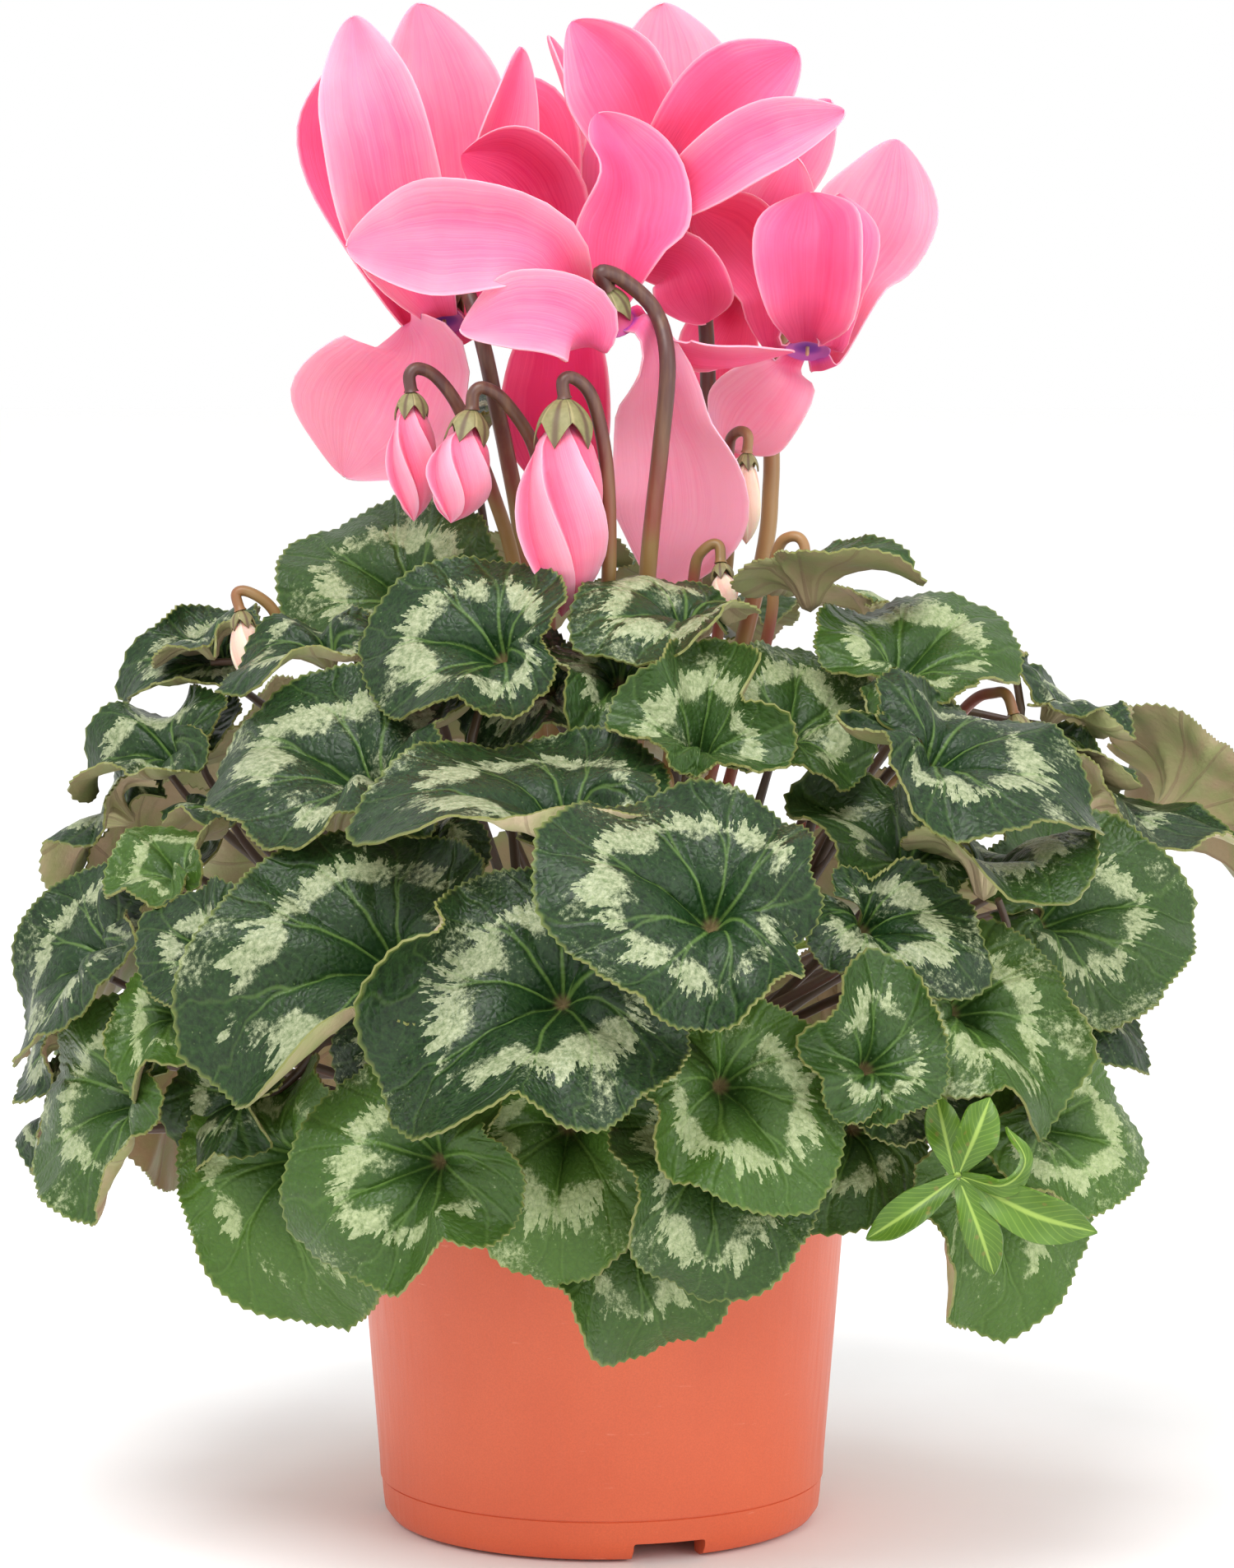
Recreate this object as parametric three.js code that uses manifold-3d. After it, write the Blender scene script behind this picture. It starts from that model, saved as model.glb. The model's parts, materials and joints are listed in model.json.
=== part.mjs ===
// Potted cyclamen: a florist's cyclamen in a 13 cm plastic pot.
// Millimetres, +Z up. The origin is the centre of the pot's base, and the plant's front faces -Y.
import * as THREE from "three";
import { mergeVertices } from "three/addons/utils/BufferGeometryUtils.js";
import Module from "manifold-3d";

const wasm = await Module();
wasm.setup();

// Driving dimensions
const POT = { height: 100, rimRadius: 66, wallRadiusTop: 64.5, footRadius: 56.4, wall: 1.4, floorZ: 5, facets: 24 };
const POT_NOTCH = { width: 19, azimuths: [18, 138, 258] };
const SOIL = { bottomZ: POT.floorZ + POT.wall + 0.3, topZ: 85 };
const CORM = { centreZ: 81, radius: 30, halfHeight: 16 };
const GAP = 0.35; // what two neighbouring pieces keep between them
const LEAF_THICKNESS = 1.0;
const PETAL_THICKNESS = 0.9;
const PETIOLE_RADIUS = 1.6;
const STALK_RADIUS = 2.1;
const TUBE = { mouthRadius: 6, length: 11 }; // the short tube that a flower's petals grow from
const DOME = { x: 4, z: 126, side: 142, front: 132, top: 124 }; // the shell that the leaf hearts lie on
const WEED = { stemRadius: 1.3, root: [42, -28, 82], overRim: [58, -50, 107] };
// Rings on the corm's crown: the flower stalks in the middle, then the shoots of the upper and lower leaves.
const CROWN = { stalks: [1, 6, 9], stalkRings: [0, 6.2, 11.8], shoots: [19, 26.6] };
const SHOOT = { radius: 3.4, length: 4, count: 26, spacing: 2.4 };
const LEAF_HEIGHTS = [150, -1e9]; // leaves with their hearts above each of these belong to its ring

// The front view that leaves and flowers are placed by: the photograph is 1500 x 1906 pixels, and
// 4.75 of them are 1 mm at the pot's axis.
const VIEW = { width: 1500, height: 1906, distance: 1500, eyeX: 4, eyeZ: 360, pitch: 6.42, pixelsPerMm: 4.75 };
const EYE = new THREE.Vector3(VIEW.eyeX, -VIEW.distance, VIEW.eyeZ);
const PITCH = THREE.MathUtils.degToRad(VIEW.pitch);
const LOOK = new THREE.Vector3(0, Math.cos(PITCH), -Math.sin(PITCH));
const VIEW_UP = new THREE.Vector3(0, Math.sin(PITCH), Math.cos(PITCH));
const X = new THREE.Vector3(1, 0, 0);
const Z = new THREE.Vector3(0, 0, 1);

function sightLine(px, py) {
  const focal = VIEW.pixelsPerMm * VIEW.distance;
  return LOOK.clone()
    .addScaledVector(X, (px - VIEW.width / 2) / focal)
    .addScaledVector(VIEW_UP, (VIEW.height / 2 - py) / focal);
}

// The point seen at a pixel, at a depth in mm in front of the pot's axis.
function seenAt([px, py, depth]) {
  const line = sightLine(px, py);
  return EYE.clone().addScaledVector(line, (VIEW.distance - depth) / line.y);
}

// The same value between low and high for the same piece and question.
function between(index, question, low, high) {
  const s = Math.sin(index * 12.9898 + question * 78.233) * 43758.5453;
  return low + (high - low) * (s - Math.floor(s));
}

// A smooth row through all the given rows of numbers, at t from 0 to 1.
function along(rows, t) {
  const spans = rows.length - 1;
  const k = Math.min(spans - 1, Math.floor(t * spans));
  const f = t * spans - k;
  const at = (i, c) => {
    if (i < 0) return 2 * rows[0][c] - rows[1][c];
    if (i > spans) return 2 * rows[spans][c] - rows[spans - 1][c];
    return rows[i][c];
  };
  return rows[0].map((_, c) => {
    const [a, b, d, e] = [at(k - 1, c), at(k, c), at(k + 1, c), at(k + 2, c)];
    return b + 0.5 * f * (d - a + f * (2 * a - 5 * b + 4 * d - e + f * (3 * (b - d) + e - a)));
  });
}

function vectorOf([x, y, z]) {
  return new THREE.Vector3(x, y, z);
}

function solidOf(geometry) {
  const bare = geometry.clone();
  bare.deleteAttribute("normal");
  bare.deleteAttribute("uv");
  const merged = mergeVertices(bare, 1e-4);
  return new wasm.Manifold(
    new wasm.Mesh({
      numProp: 3,
      vertProperties: merged.attributes.position.array,
      triVerts: new Uint32Array(merged.index.array),
    }),
  );
}

function solidFrom(points, triangles) {
  const flat = points.flatMap((p) => [p.x, p.y, p.z]);
  const geometry = new THREE.BufferGeometry()
    .setAttribute("position", new THREE.Float32BufferAttribute(flat, 3))
    .setIndex(triangles.flat());
  return solidOf(geometry);
}

function geometryOf(made) {
  const mesh = made.getMesh();
  const positions = new Float32Array(mesh.numVert * 3);
  for (let i = 0; i < mesh.numVert; i++) {
    positions.set(mesh.vertProperties.subarray(i * mesh.numProp, i * mesh.numProp + 3), i * 3);
  }
  const geometry = new THREE.BufferGeometry()
    .setAttribute("position", new THREE.BufferAttribute(positions, 3))
    .setIndex(new THREE.BufferAttribute(mesh.triVerts, 1))
    .toNonIndexed();
  geometry.computeVertexNormals();
  return geometry;
}

// Two sheets of the same points, joined by a rim into a thin closed plate.
function plate(front, back, faces, rim) {
  const under = front.length;
  const triangles = faces.flatMap(([a, b, c]) => [
    [a, b, c],
    [under + a, under + c, under + b],
  ]);
  rim.forEach((a, i) => {
    const b = rim[(i + 1) % rim.length];
    triangles.push([b, a, under + a], [b, under + a, under + b]);
  });
  return solidFrom([...front, ...back], triangles);
}

// A thin strip: pointAt gives its points along, across and off its middle surface.
function strip(shares, columns, pointAt) {
  const rows = shares.length - 1;
  const index = (i, k) => i * (columns + 1) + k;
  const sheet = (offset) => {
    const points = [];
    for (const u of shares) {
      for (let k = 0; k <= columns; k++) points.push(pointAt(u, (2 * k) / columns - 1, offset));
    }
    return points;
  };
  const faces = [];
  for (let i = 0; i < rows; i++) {
    for (let k = 0; k < columns; k++) {
      faces.push([index(i, k), index(i + 1, k), index(i + 1, k + 1)]);
      faces.push([index(i, k), index(i + 1, k + 1), index(i, k + 1)]);
    }
  }
  const rim = [];
  for (let i = 0; i < rows; i++) rim.push(index(i, 0));
  for (let k = 0; k < columns; k++) rim.push(index(rows, k));
  for (let i = rows; i > 0; i--) rim.push(index(i, columns));
  for (let k = columns; k > 0; k--) rim.push(index(0, k));
  return plate(sheet(1), sheet(-1), faces, rim);
}

// A rod through the given points, with its radius at each.
function rod(points, radii, sides) {
  const rings = [];
  let side = new THREE.Vector3(0.6, 0.8, 0.1);
  points.forEach((p, k) => {
    const ahead = points[Math.min(k + 1, points.length - 1)];
    const behind = points[Math.max(k - 1, 0)];
    const direction = ahead.clone().sub(behind).normalize();
    side = side.clone().addScaledVector(direction, -side.dot(direction)).normalize();
    const up = direction.clone().cross(side);
    for (let j = 0; j < sides; j++) {
      const a = (2 * Math.PI * j) / sides;
      const [c, s] = [radii[k] * Math.cos(a), radii[k] * Math.sin(a)];
      rings.push(p.clone().addScaledVector(side, c).addScaledVector(up, s));
    }
  });
  const triangles = [];
  for (let k = 0; k < points.length - 1; k++) {
    for (let j = 0; j < sides; j++) {
      const [a, b] = [k * sides + j, k * sides + ((j + 1) % sides)];
      triangles.push([a, b, b + sides], [a, b + sides, a + sides]);
    }
  }
  const last = (points.length - 1) * sides;
  for (let j = 1; j < sides - 1; j++) {
    triangles.push([0, j + 1, j], [last, last + j, last + j + 1]);
  }
  return solidFrom(rings, triangles);
}

function turned(profile, segments) {
  const points = profile.map(([r, z]) => new THREE.Vector2(r, z));
  return new THREE.LatheGeometry(points, segments).rotateX(Math.PI / 2);
}

// Turns a shape made along +Z to start at a place and lie along an axis.
function placedAlong(points, place, axis) {
  const turn = new THREE.Quaternion().setFromUnitVectors(Z, axis);
  return points.map((p) => p.clone().applyQuaternion(turn).add(place));
}

function crosses(a, b) {
  const boxA = a.boundingBox();
  const boxB = b.boundingBox();
  for (let k = 0; k < 3; k++) {
    if (boxA.min[k] > boxB.max[k] || boxB.min[k] > boxA.max[k]) return false;
  }
  return a.intersect(b).volume() > 0;
}

function isClear(made, others) {
  return others.every((other) => !crosses(made, other));
}

// Pot, soil and corm
function potRadius(z) {
  return POT.footRadius + ((POT.wallRadiusTop - POT.footRadius) * z) / POT.height;
}

function potSolid() {
  const { height, rimRadius, wall, floorZ } = POT;
  const inside = (z) => potRadius(z) - wall;
  const profile = [
    [0, 0],
    [12, 0], // the middle foot, which carries the floor
    [12, floorZ],
    [potRadius(0) - 8.5, floorZ],
    [potRadius(0) - 8, 0],
    [potRadius(0) - 5, 0],
    [potRadius(3), 3.2],
    [potRadius(11), 11],
    [potRadius(11) + 0.4, 11.3], // the stacking line
    [potRadius(height - 8), height - 8],
    [rimRadius, height - 7.5],
    [rimRadius, height],
    [rimRadius - wall - 0.6, height],
    [inside(height - 9), height - 9],
    [inside(floorZ + wall + 3), floorZ + wall + 3],
    [inside(floorZ + wall) - 3, floorZ + wall],
    [0, floorZ + wall],
  ];
  let pot = solidOf(turned(profile, POT.facets));
  for (const azimuth of POT_NOTCH.azimuths) {
    const notch = new THREE.BoxGeometry(POT_NOTCH.width, 24, 2 * floorZ)
      .translate(0, -potRadius(0), 0)
      .rotateZ(THREE.MathUtils.degToRad(azimuth));
    const drain = new THREE.CylinderGeometry(3, 3, 12, 6)
      .rotateX(Math.PI / 2)
      .translate(0, -32, floorZ)
      .rotateZ(THREE.MathUtils.degToRad(azimuth + 60));
    pot = pot.subtract(solidOf(notch)).subtract(solidOf(drain));
  }
  return pot;
}

// The corm is a flattened ball, and its crown carries every stalk.
function cormProfile(clear) {
  const rings = 7;
  return Array.from({ length: rings + 1 }, (_, i) => {
    const a = Math.PI * (1 - i / rings);
    const r = i === 0 || i === rings ? 0 : (CORM.radius + clear) * Math.sin(a);
    return [r, CORM.centreZ + (CORM.halfHeight + clear) * Math.cos(a)];
  });
}

function soilSolid() {
  const inside = (z) => (potRadius(z) - POT.wall) * Math.cos(Math.PI / POT.facets) - GAP;
  const cup = cormProfile(GAP).filter(([, z]) => z < SOIL.topZ - 1);
  const profile = [
    [0, SOIL.bottomZ],
    [inside(SOIL.bottomZ) - 3.4, SOIL.bottomZ],
    [inside(SOIL.bottomZ + 4) - 0.4, SOIL.bottomZ + 4],
    [inside(SOIL.topZ), SOIL.topZ - 2],
    [52, SOIL.topZ],
    [42, SOIL.topZ + 1],
    [CORM.radius + 1.5, SOIL.topZ - 0.5],
    ...cup.reverse(),
  ];
  const geometry = turned(profile, 16);
  const position = geometry.attributes.position;
  for (let i = 0; i < position.count; i++) {
    const x = position.getX(i);
    const y = position.getY(i);
    const r = Math.hypot(x, y);
    const crumb = Math.sin(x * 0.31) * Math.cos(y * 0.27) + 0.5 * Math.sin(x * 0.11 + y * 0.4);
    if (position.getZ(i) > SOIL.topZ - 1.5 && r > CORM.radius + 1 && r < 58) {
      position.setZ(i, position.getZ(i) + 1.2 * crumb);
    }
  }
  const [x, y, z] = WEED.root;
  const holeRadius = (WEED.stemRadius + 1.2 * GAP) / Math.cos(Math.PI / 8);
  const hole = new THREE.CylinderGeometry(holeRadius, holeRadius, 20, 8)
    .rotateX(Math.PI / 2)
    .translate(x, y, z + 10 - GAP);
  return solidOf(geometry).subtract(solidOf(hole));
}

// A place on the corm's crown, just clear of its skin, and the direction that a shoot leaves it in.
function crownPlace(radius, azimuth) {
  const s = radius / CORM.radius;
  const c = Math.sqrt(1 - s * s);
  const ring = new THREE.Vector3(Math.cos(azimuth), Math.sin(azimuth), 0);
  const skin = ring.clone().multiplyScalar(radius).setZ(CORM.centreZ + CORM.halfHeight * c);
  const out = ring.multiplyScalar(s / CORM.radius).setZ(c / CORM.halfHeight).normalize();
  return { place: skin.addScaledVector(out, GAP), out };
}

// A flower hangs from its calyx and opens downwards at its mouth, and its petals sweep back up.
// A petal's rows, towards its tip: where its middle is seen (pixel x, pixel y, depth), half its width
// in mm, and how far it's turned about its length, in degrees, from facing the viewer.
const BLOOMS = [
  {
    name: "left",
    calyx: [536, 346, 6],
    mouth: [541, 398, 12],
    stalk: [[632, 640, 10], [608, 520, 20], [590, 430, 28], [562, 340, 20]],
    petals: [
      [[452, 290, -2, 9, 20], [408, 170, -8, 11, 25], [430, 56, -10, 7, 35]],
      [[492, 280, 24, 12, -10], [462, 140, 26, 11, -15], [430, 20, 18, 7, -30]],
      [[556, 270, -12, 12, 5], [538, 130, -16, 15, 0], [508, 4, -18, 10, 0]],
      [[584, 270, 4, 8, 40], [606, 160, 2, 8, 50], [634, 58, 0, 5, 60]],
      [[500, 440, 20, 16, 10], [455, 510, 18, 20, 5], [420, 580, 12, 10, 0]],
    ],
  },
  {
    name: "middle",
    calyx: [737, 350, 52],
    mouth: [748, 412, 44],
    stalk: [[782, 760, 46], [790, 600, 50], [796, 450, 50], [770, 366, 44]],
    petals: [
      [[655, 305, 52, 10, 10], [540, 290, 50, 13, 5], [422, 300, 38, 9, 15]],
      [[700, 392, 58, 10, 5], [635, 378, 58, 9, 5], [560, 400, 52, 6, 20]],
      [[746, 310, 34, 11, 10], [758, 220, 28, 10, 50], [727, 138, 20, 6, 20]],
      [[822, 426, 38, 8, 50], [885, 438, 38, 9, 62], [965, 427, 34, 6, 70]],
      [[806, 500, 34, 12, 12], [828, 610, 30, 16, 5], [806, 718, 26, 10, 0]],
    ],
  },
  {
    name: "inner",
    calyx: [690, 292, -8],
    mouth: [682, 346, -10],
    stalk: [[652, 650, -16], [664, 520, -20], [704, 380, -20], [716, 284, -14]],
    petals: [
      [[660, 240, -26, 10, 0], [636, 155, -30, 12, 5], [572, 122, -32, 8, 10]],
      [[656, 262, 8, 12, 0], [620, 212, 12, 12, 0], [562, 188, 14, 7, 10]],
      [[706, 210, -40, 8, 50], [694, 120, -46, 8, 55], [666, 44, -48, 5, 50]],
      [[680, 430, -2, 12, 0], [676, 520, -2, 13, 5], [668, 598, -6, 8, 0]],
      [[738, 262, -26, 10, -20], [752, 180, -44, 10, -20], [746, 96, -56, 6, -20]],
    ],
  },
  {
    name: "right_top",
    calyx: [838, 300, 2],
    mouth: [794, 282, 4],
    stalk: [[850, 650, 2], [866, 500, -4], [872, 380, -6], [866, 318, -4]],
    petals: [
      [[782, 190, 0, 10, 0], [748, 108, -2, 12, 5], [696, 26, -8, 7, 15]],
      [[814, 180, -14, 12, 0], [816, 90, -20, 14, 0], [806, 4, -24, 9, 0]],
      [[832, 190, 10, 11, 0], [888, 118, 12, 12, 5], [968, 60, 6, 8, 10]],
      [[862, 208, 24, 8, 0], [930, 164, 26, 8, 5], [1026, 135, 18, 5, 10]],
      [[824, 320, 18, 8, 0], [842, 352, 18, 9, 5], [858, 392, 10, 6, 0]],
    ],
  },
  {
    name: "right",
    calyx: [984, 378, 4],
    mouth: [981, 434, 10],
    stalk: [[930, 668, -6], [936, 560, -8], [944, 440, -10], [964, 358, -6]],
    petals: [
      [[1030, 345, -18, 11, -8], [1070, 262, -20, 14, -8], [1090, 170, -22, 9, 0]],
      [[980, 360, 26, 11, 5], [978, 292, 28, 12, 5], [984, 234, 20, 7, 10]],
      [[1012, 350, 17, 8, -10], [1026, 290, 14, 8, -15], [1020, 236, 8, 5, -10]],
      [[938, 356, 10, 9, 15], [892, 292, 8, 10, 15], [842, 252, 4, 6, 20]],
      [[946, 466, 4, 10, 0], [912, 506, 0, 11, 5], [880, 544, -4, 7, 0]],
    ],
  },
  {
    name: "back",
    calyx: [872, 300, -52],
    mouth: [866, 350, -48],
    stalk: [[800, 650, -30], [870, 500, -58], [894, 380, -62], [892, 298, -60]],
    petals: [
      [[910, 270, -44, 9, 0], [960, 190, -44, 9, 5], [1010, 122, -46, 6, 5]],
      [[910, 300, -38, 9, 0], [945, 240, -36, 9, 0], [966, 190, -38, 6, 0]],
      [[846, 260, -68, 11, 0], [852, 180, -74, 12, 0], [862, 110, -78, 8, 0]],
      [[826, 300, -40, 9, 10], [790, 240, -44, 10, 10], [770, 170, -48, 7, 0]],
      [[874, 430, -42, 11, 0], [872, 500, -42, 12, 0], [866, 570, -46, 8, 0]],
    ],
  },
];

// A bud hangs closed from its calyx: where the calyx and the bud's tip are seen, its radius in mm, and
// its stalk from where it leaves the foliage to its bend.
const BUDS = [
  {
    name: "bud_1", calyx: [500, 476, 42], tip: [503, 634, 44], radius: 5.6, colour: "petal",
    stalk: [[624, 680, 24], [586, 570, 32], [558, 496, 38], [524, 453, 40]],
  },
  {
    name: "bud_2", calyx: [574, 498, 54], tip: [548, 636, 58], radius: 7.2, colour: "petal",
    stalk: [[664, 690, 38], [662, 610, 42], [648, 540, 48], [606, 480, 52]],
  },
  {
    name: "bud_3", calyx: [686, 484, 64], tip: [683, 750, 66], radius: 9.8, colour: "petal",
    stalk: [[738, 770, 56], [741, 620, 58], [730, 520, 60], [712, 470, 62]],
  },
  {
    name: "bud_4", calyx: [908, 550, 22], tip: [907, 662, 24], radius: 3.6, colour: "pale",
    stalk: [[884, 690, 14], [884, 610, 14], [886, 548, 16], [892, 528, 18]],
  },
  {
    name: "bud_5", calyx: [876, 684, 38], tip: [884, 742, 42], radius: 3.4, colour: "pale",
    stalk: [[838, 780, 34], [842, 720, 34], [846, 684, 35], [856, 668, 36]],
  },
  {
    name: "bud_6", calyx: [978, 684, 24], tip: [980, 734, 26], radius: 3.2, colour: "green",
    stalk: [[936, 760, 18], [938, 700, 18], [948, 662, 20], [964, 652, 22]],
  },
  {
    name: "bud_7", calyx: [292, 742, 26], tip: [308, 834, 30], radius: 4.2, colour: "pale", low: true,
    stalk: [[420, 830, 24], [356, 782, 24], [334, 744, 24], [312, 724, 25]],
  },
  {
    name: "bud_8", calyx: [1232, 868, 62], tip: [1256, 940, 66], radius: 4.4, colour: "pale", low: true,
    stalk: [[1120, 925, 20], [1160, 876, 38], [1188, 848, 52], [1212, 842, 58]],
  },
  {
    name: "bud_9", calyx: [812, 966, 112], tip: [815, 1012, 112], radius: 3.2, colour: "green", low: true,
    stalk: [[700, 1010, 90], [724, 944, 98], [756, 918, 104], [790, 926, 108]],
  },
];

// The five petals leave the mouth evenly round its rim, in the order they're seen in.
function petalRoots(petals, mouth, axis) {
  const right = X.clone().addScaledVector(axis, -axis.x).normalize();
  const front = axis.clone().cross(right);
  const fifth = (2 * Math.PI) / petals.length;
  const seen = petals.map((petal) => {
    const out = seenAt(petal[0]).sub(mouth);
    return Math.atan2(out.dot(front), out.dot(right));
  });
  const order = seen.map((_, k) => k).sort((a, b) => seen[a] - seen[b]);
  const turn = order.reduce((sum, k, place) => sum + seen[k] - fifth * place, 0) / petals.length;
  return petals.map((_, k) => {
    const a = 0.5 * (turn + fifth * order.indexOf(k)) + 0.5 * seen[k];
    return right.clone().multiplyScalar(Math.cos(a)).addScaledVector(front, Math.sin(a));
  });
}

// The direction across a petal or a blade at one of its points: it faces the viewer before it's turned.
function acrossAt(points, i, turn) {
  const ahead = points[Math.min(i + 1, points.length - 1)];
  const direction = ahead.clone().sub(points[Math.max(i - 1, 0)]).normalize();
  const front = EYE.clone().sub(points[i]).normalize();
  front.addScaledVector(direction, -front.dot(direction)).normalize();
  return front.cross(direction).applyAxisAngle(direction, THREE.MathUtils.degToRad(turn));
}

// A petal leaves the mouth outwards, and then follows the rows it's seen in.
// Each finished row holds a point, a half width and the direction across the petal.
function petalRows(petal, mouth, axis, outward) {
  const points = [
    mouth.clone().addScaledVector(outward, 4.6).addScaledVector(axis, -0.9),
    mouth.clone().addScaledVector(outward, TUBE.mouthRadius + 3.2).addScaledVector(axis, 0.8),
    ...petal.map(seenAt),
  ];
  const across = petal.map((row, k) => acrossAt(points, k + 2, row[4]));
  const tangent = axis.clone().cross(outward);
  if (tangent.dot(across[0]) < 0) tangent.negate();
  const halves = [2.4, 4.6, ...petal.map((row) => row[3])];
  return points.map((p, k) => {
    const side = k < 2 ? tangent : across[k - 2];
    return [p.x, p.y, p.z, halves[k], side.x, side.y, side.z];
  });
}

function petalPoint(rows, wave, u, v, side) {
  const here = along(rows, u);
  const ahead = along(rows, Math.min(1, u + 0.02));
  const behind = along(rows, Math.max(0, u - 0.02));
  const direction = vectorOf(ahead).sub(vectorOf(behind)).normalize();
  const across = vectorOf(here.slice(4));
  across.addScaledVector(direction, -across.dot(direction)).normalize();
  const off = direction.clone().cross(across);
  const tipRound = Math.sqrt(Math.max(0.03, 1 - Math.max(0, (u - 0.75) / 0.25) ** 2));
  const half = here[3] * tipRound;
  const ripple = wave.size * Math.sin(wave.count * u + wave.phase * v) * v * v * Math.sin(Math.PI * u);
  const hollow = half * 0.2 * v * v * Math.sin(Math.PI * u) + ripple;
  return vectorOf(here)
    .addScaledVector(across, half * v)
    .addScaledVector(off, hollow + (side * PETAL_THICKNESS) / 2);
}

function petalSolid(rows, seed) {
  const wave = {
    size: between(seed, 20, 0.3, 1.2),
    count: between(seed, 21, 5, 9),
    phase: between(seed, 22, 1, 3),
  };
  return strip([0, 0.25, 0.5, 0.8, 1], 2, (u, v, side) => petalPoint(rows, wave, u, v, side));
}

// Levels of a shape that is round or ridged about its axis: at each level a height and a radius per side.
function ringed(levels, sides, radiusAt, first, last, place, axis) {
  const points = [new THREE.Vector3(0, 0, first)];
  levels.forEach((height, k) => {
    for (let j = 0; j < sides; j++) {
      const [r, turn] = radiusAt(k, j);
      const a = (2 * Math.PI * j) / sides + turn;
      points.push(new THREE.Vector3(r * Math.cos(a), r * Math.sin(a), height));
    }
  });
  points.push(new THREE.Vector3(0, 0, last));
  const triangles = [];
  const end = points.length - 1;
  const at = (k, j) => 1 + k * sides + (j % sides);
  for (let j = 0; j < sides; j++) {
    triangles.push([0, at(0, j + 1), at(0, j)]);
    triangles.push([end, at(levels.length - 1, j), at(levels.length - 1, j + 1)]);
    for (let k = 0; k < levels.length - 1; k++) {
      triangles.push([at(k, j), at(k, j + 1), at(k + 1, j + 1)], [at(k, j), at(k + 1, j + 1), at(k + 1, j)]);
    }
  }
  return solidFrom(placedAlong(points, place, axis), triangles);
}

// The closed tube under the calyx widens to the mouth, whose middle is hollow.
function tubeSolid(calyx, axis) {
  const radii = [2.2, 4.1, TUBE.mouthRadius];
  return ringed([5.4, 8, TUBE.length], 6, (k) => [radii[k], 0], 1.7, TUBE.length - 1, calyx, axis);
}

// A closed bud: five rolled petals, which show as ridges that wind round it. Its top lies in the calyx,
// and a green bud is still grown together with it.
function budSolid({ place, axis, radius, colour }, length, scale) {
  const ridged = colour === "petal";
  const capEnd = 10 * scale + 1;
  const rest = length - capEnd;
  const shares = ridged ? [0, 0.3, 0.62, 0.88] : [0, 0.6];
  const heights = [5.5 * scale, ...shares.map((share) => capEnd + rest * share)];
  const radii = [0.7 * (5.5 * scale - 1) - 0.5, ...shares.map((share) => radius * Math.cos(1.5 * share ** 1.6) ** 0.6)];
  const radiusAt = (k, j) => [radii[k] * (k > 0 && ridged && j % 2 ? 0.84 : 1) * (k === 1 ? 0.9 : 1), 0.35 * k];
  const first = colour === "green" ? 0.2 : 1.7;
  return ringed(heights, ridged ? 10 : 6, radiusAt, first, length, place, axis);
}

// Five pointed sepals in a star-shaped cap, which stands clear of what it holds.
function calyxSolid(calyx, axis, scale) {
  const outer = [new THREE.Vector3(0, 0, -0.6)];
  const inner = [new THREE.Vector3(0, 0, 1.0)];
  for (let j = 0; j < 10; j++) {
    const a = (Math.PI * j) / 5;
    const [r, h] = j % 2 ? [5.6 * scale, 4 * scale] : [6.3 * scale, 8.8 * scale];
    outer.push(new THREE.Vector3(r * Math.cos(a), r * Math.sin(a), h));
    inner.push(new THREE.Vector3((r - 0.9) * Math.cos(a), (r - 0.9) * Math.sin(a), h));
  }
  const faces = Array.from({ length: 10 }, (_, j) => [0, 1 + ((j + 1) % 10), 1 + j]);
  const edge = Array.from({ length: 10 }, (_, j) => 10 - j);
  return plate(placedAlong(outer, calyx, axis), placedAlong(inner, calyx, axis), faces, edge);
}

// Ways past the neighbours, the nearest to what is seen first: how far a stalk's bend, or the middle of
// its hidden part, is moved to the right, to the front and up, in mm.
function nearestFirst(steps) {
  const size = (step) => step.reduce((sum, part) => sum + Math.abs(part), 0);
  return steps.sort((a, b) => size(a) - size(b));
}
const BEND_WAYS = nearestFirst(
  [0, 4, -4, 8, -8, 12, -12].flatMap((right) =>
    [0, -5, 5, -10, 10, -15, -20].flatMap((front) => [0, 4, 8, -4].map((up) => [right, front, up])),
  ),
);
const SWAY_WAYS = nearestFirst(
  [0, 5, -5, 10, -10, 16, -16, 24, -24, 34, -34].flatMap((right) =>
    [0, 5, -5, 10, -10, 16, -16, 24, -24].flatMap((front) => [0, 12, -12, 24].map((up) => [right, front, up])),
  ),
);

// The seen part of a stalk, to the top of its calyx.
function seenStalk(head, [right, front, up]) {
  const moved = head.stalk.map((point, k) => {
    const share = [0, 0.3, 0.8, 1][k];
    return seenAt(point).add(new THREE.Vector3(right, -front, up).multiplyScalar(share));
  });
  const above = head.place.clone().addScaledVector(head.axis, -5);
  const end = head.place.clone().addScaledVector(head.axis, 0.1);
  return [...moved, above, end];
}

// The whole stalk, from its root on the crown.
function stalkPath(head, root, [right, front, up]) {
  const start = root.place.clone().addScaledVector(root.out, 12);
  const middle = start.clone().lerp(head.seen[0], 0.5).add(new THREE.Vector3(right, -front, up));
  return [root.place, start, middle, ...head.seen];
}

function stalkRod(head, points, clear) {
  const rows = points.map((p) => [p.x, p.y, p.z]);
  const steps = Math.round(1.4 * (rows.length - 1));
  const path = Array.from({ length: steps + 1 }, (_, k) => vectorOf(along(rows, k / steps)));
  const radius = STALK_RADIUS * (head.petals ? 1 : 0.8);
  return rod(path, path.map(() => radius + clear), 3);
}

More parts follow.
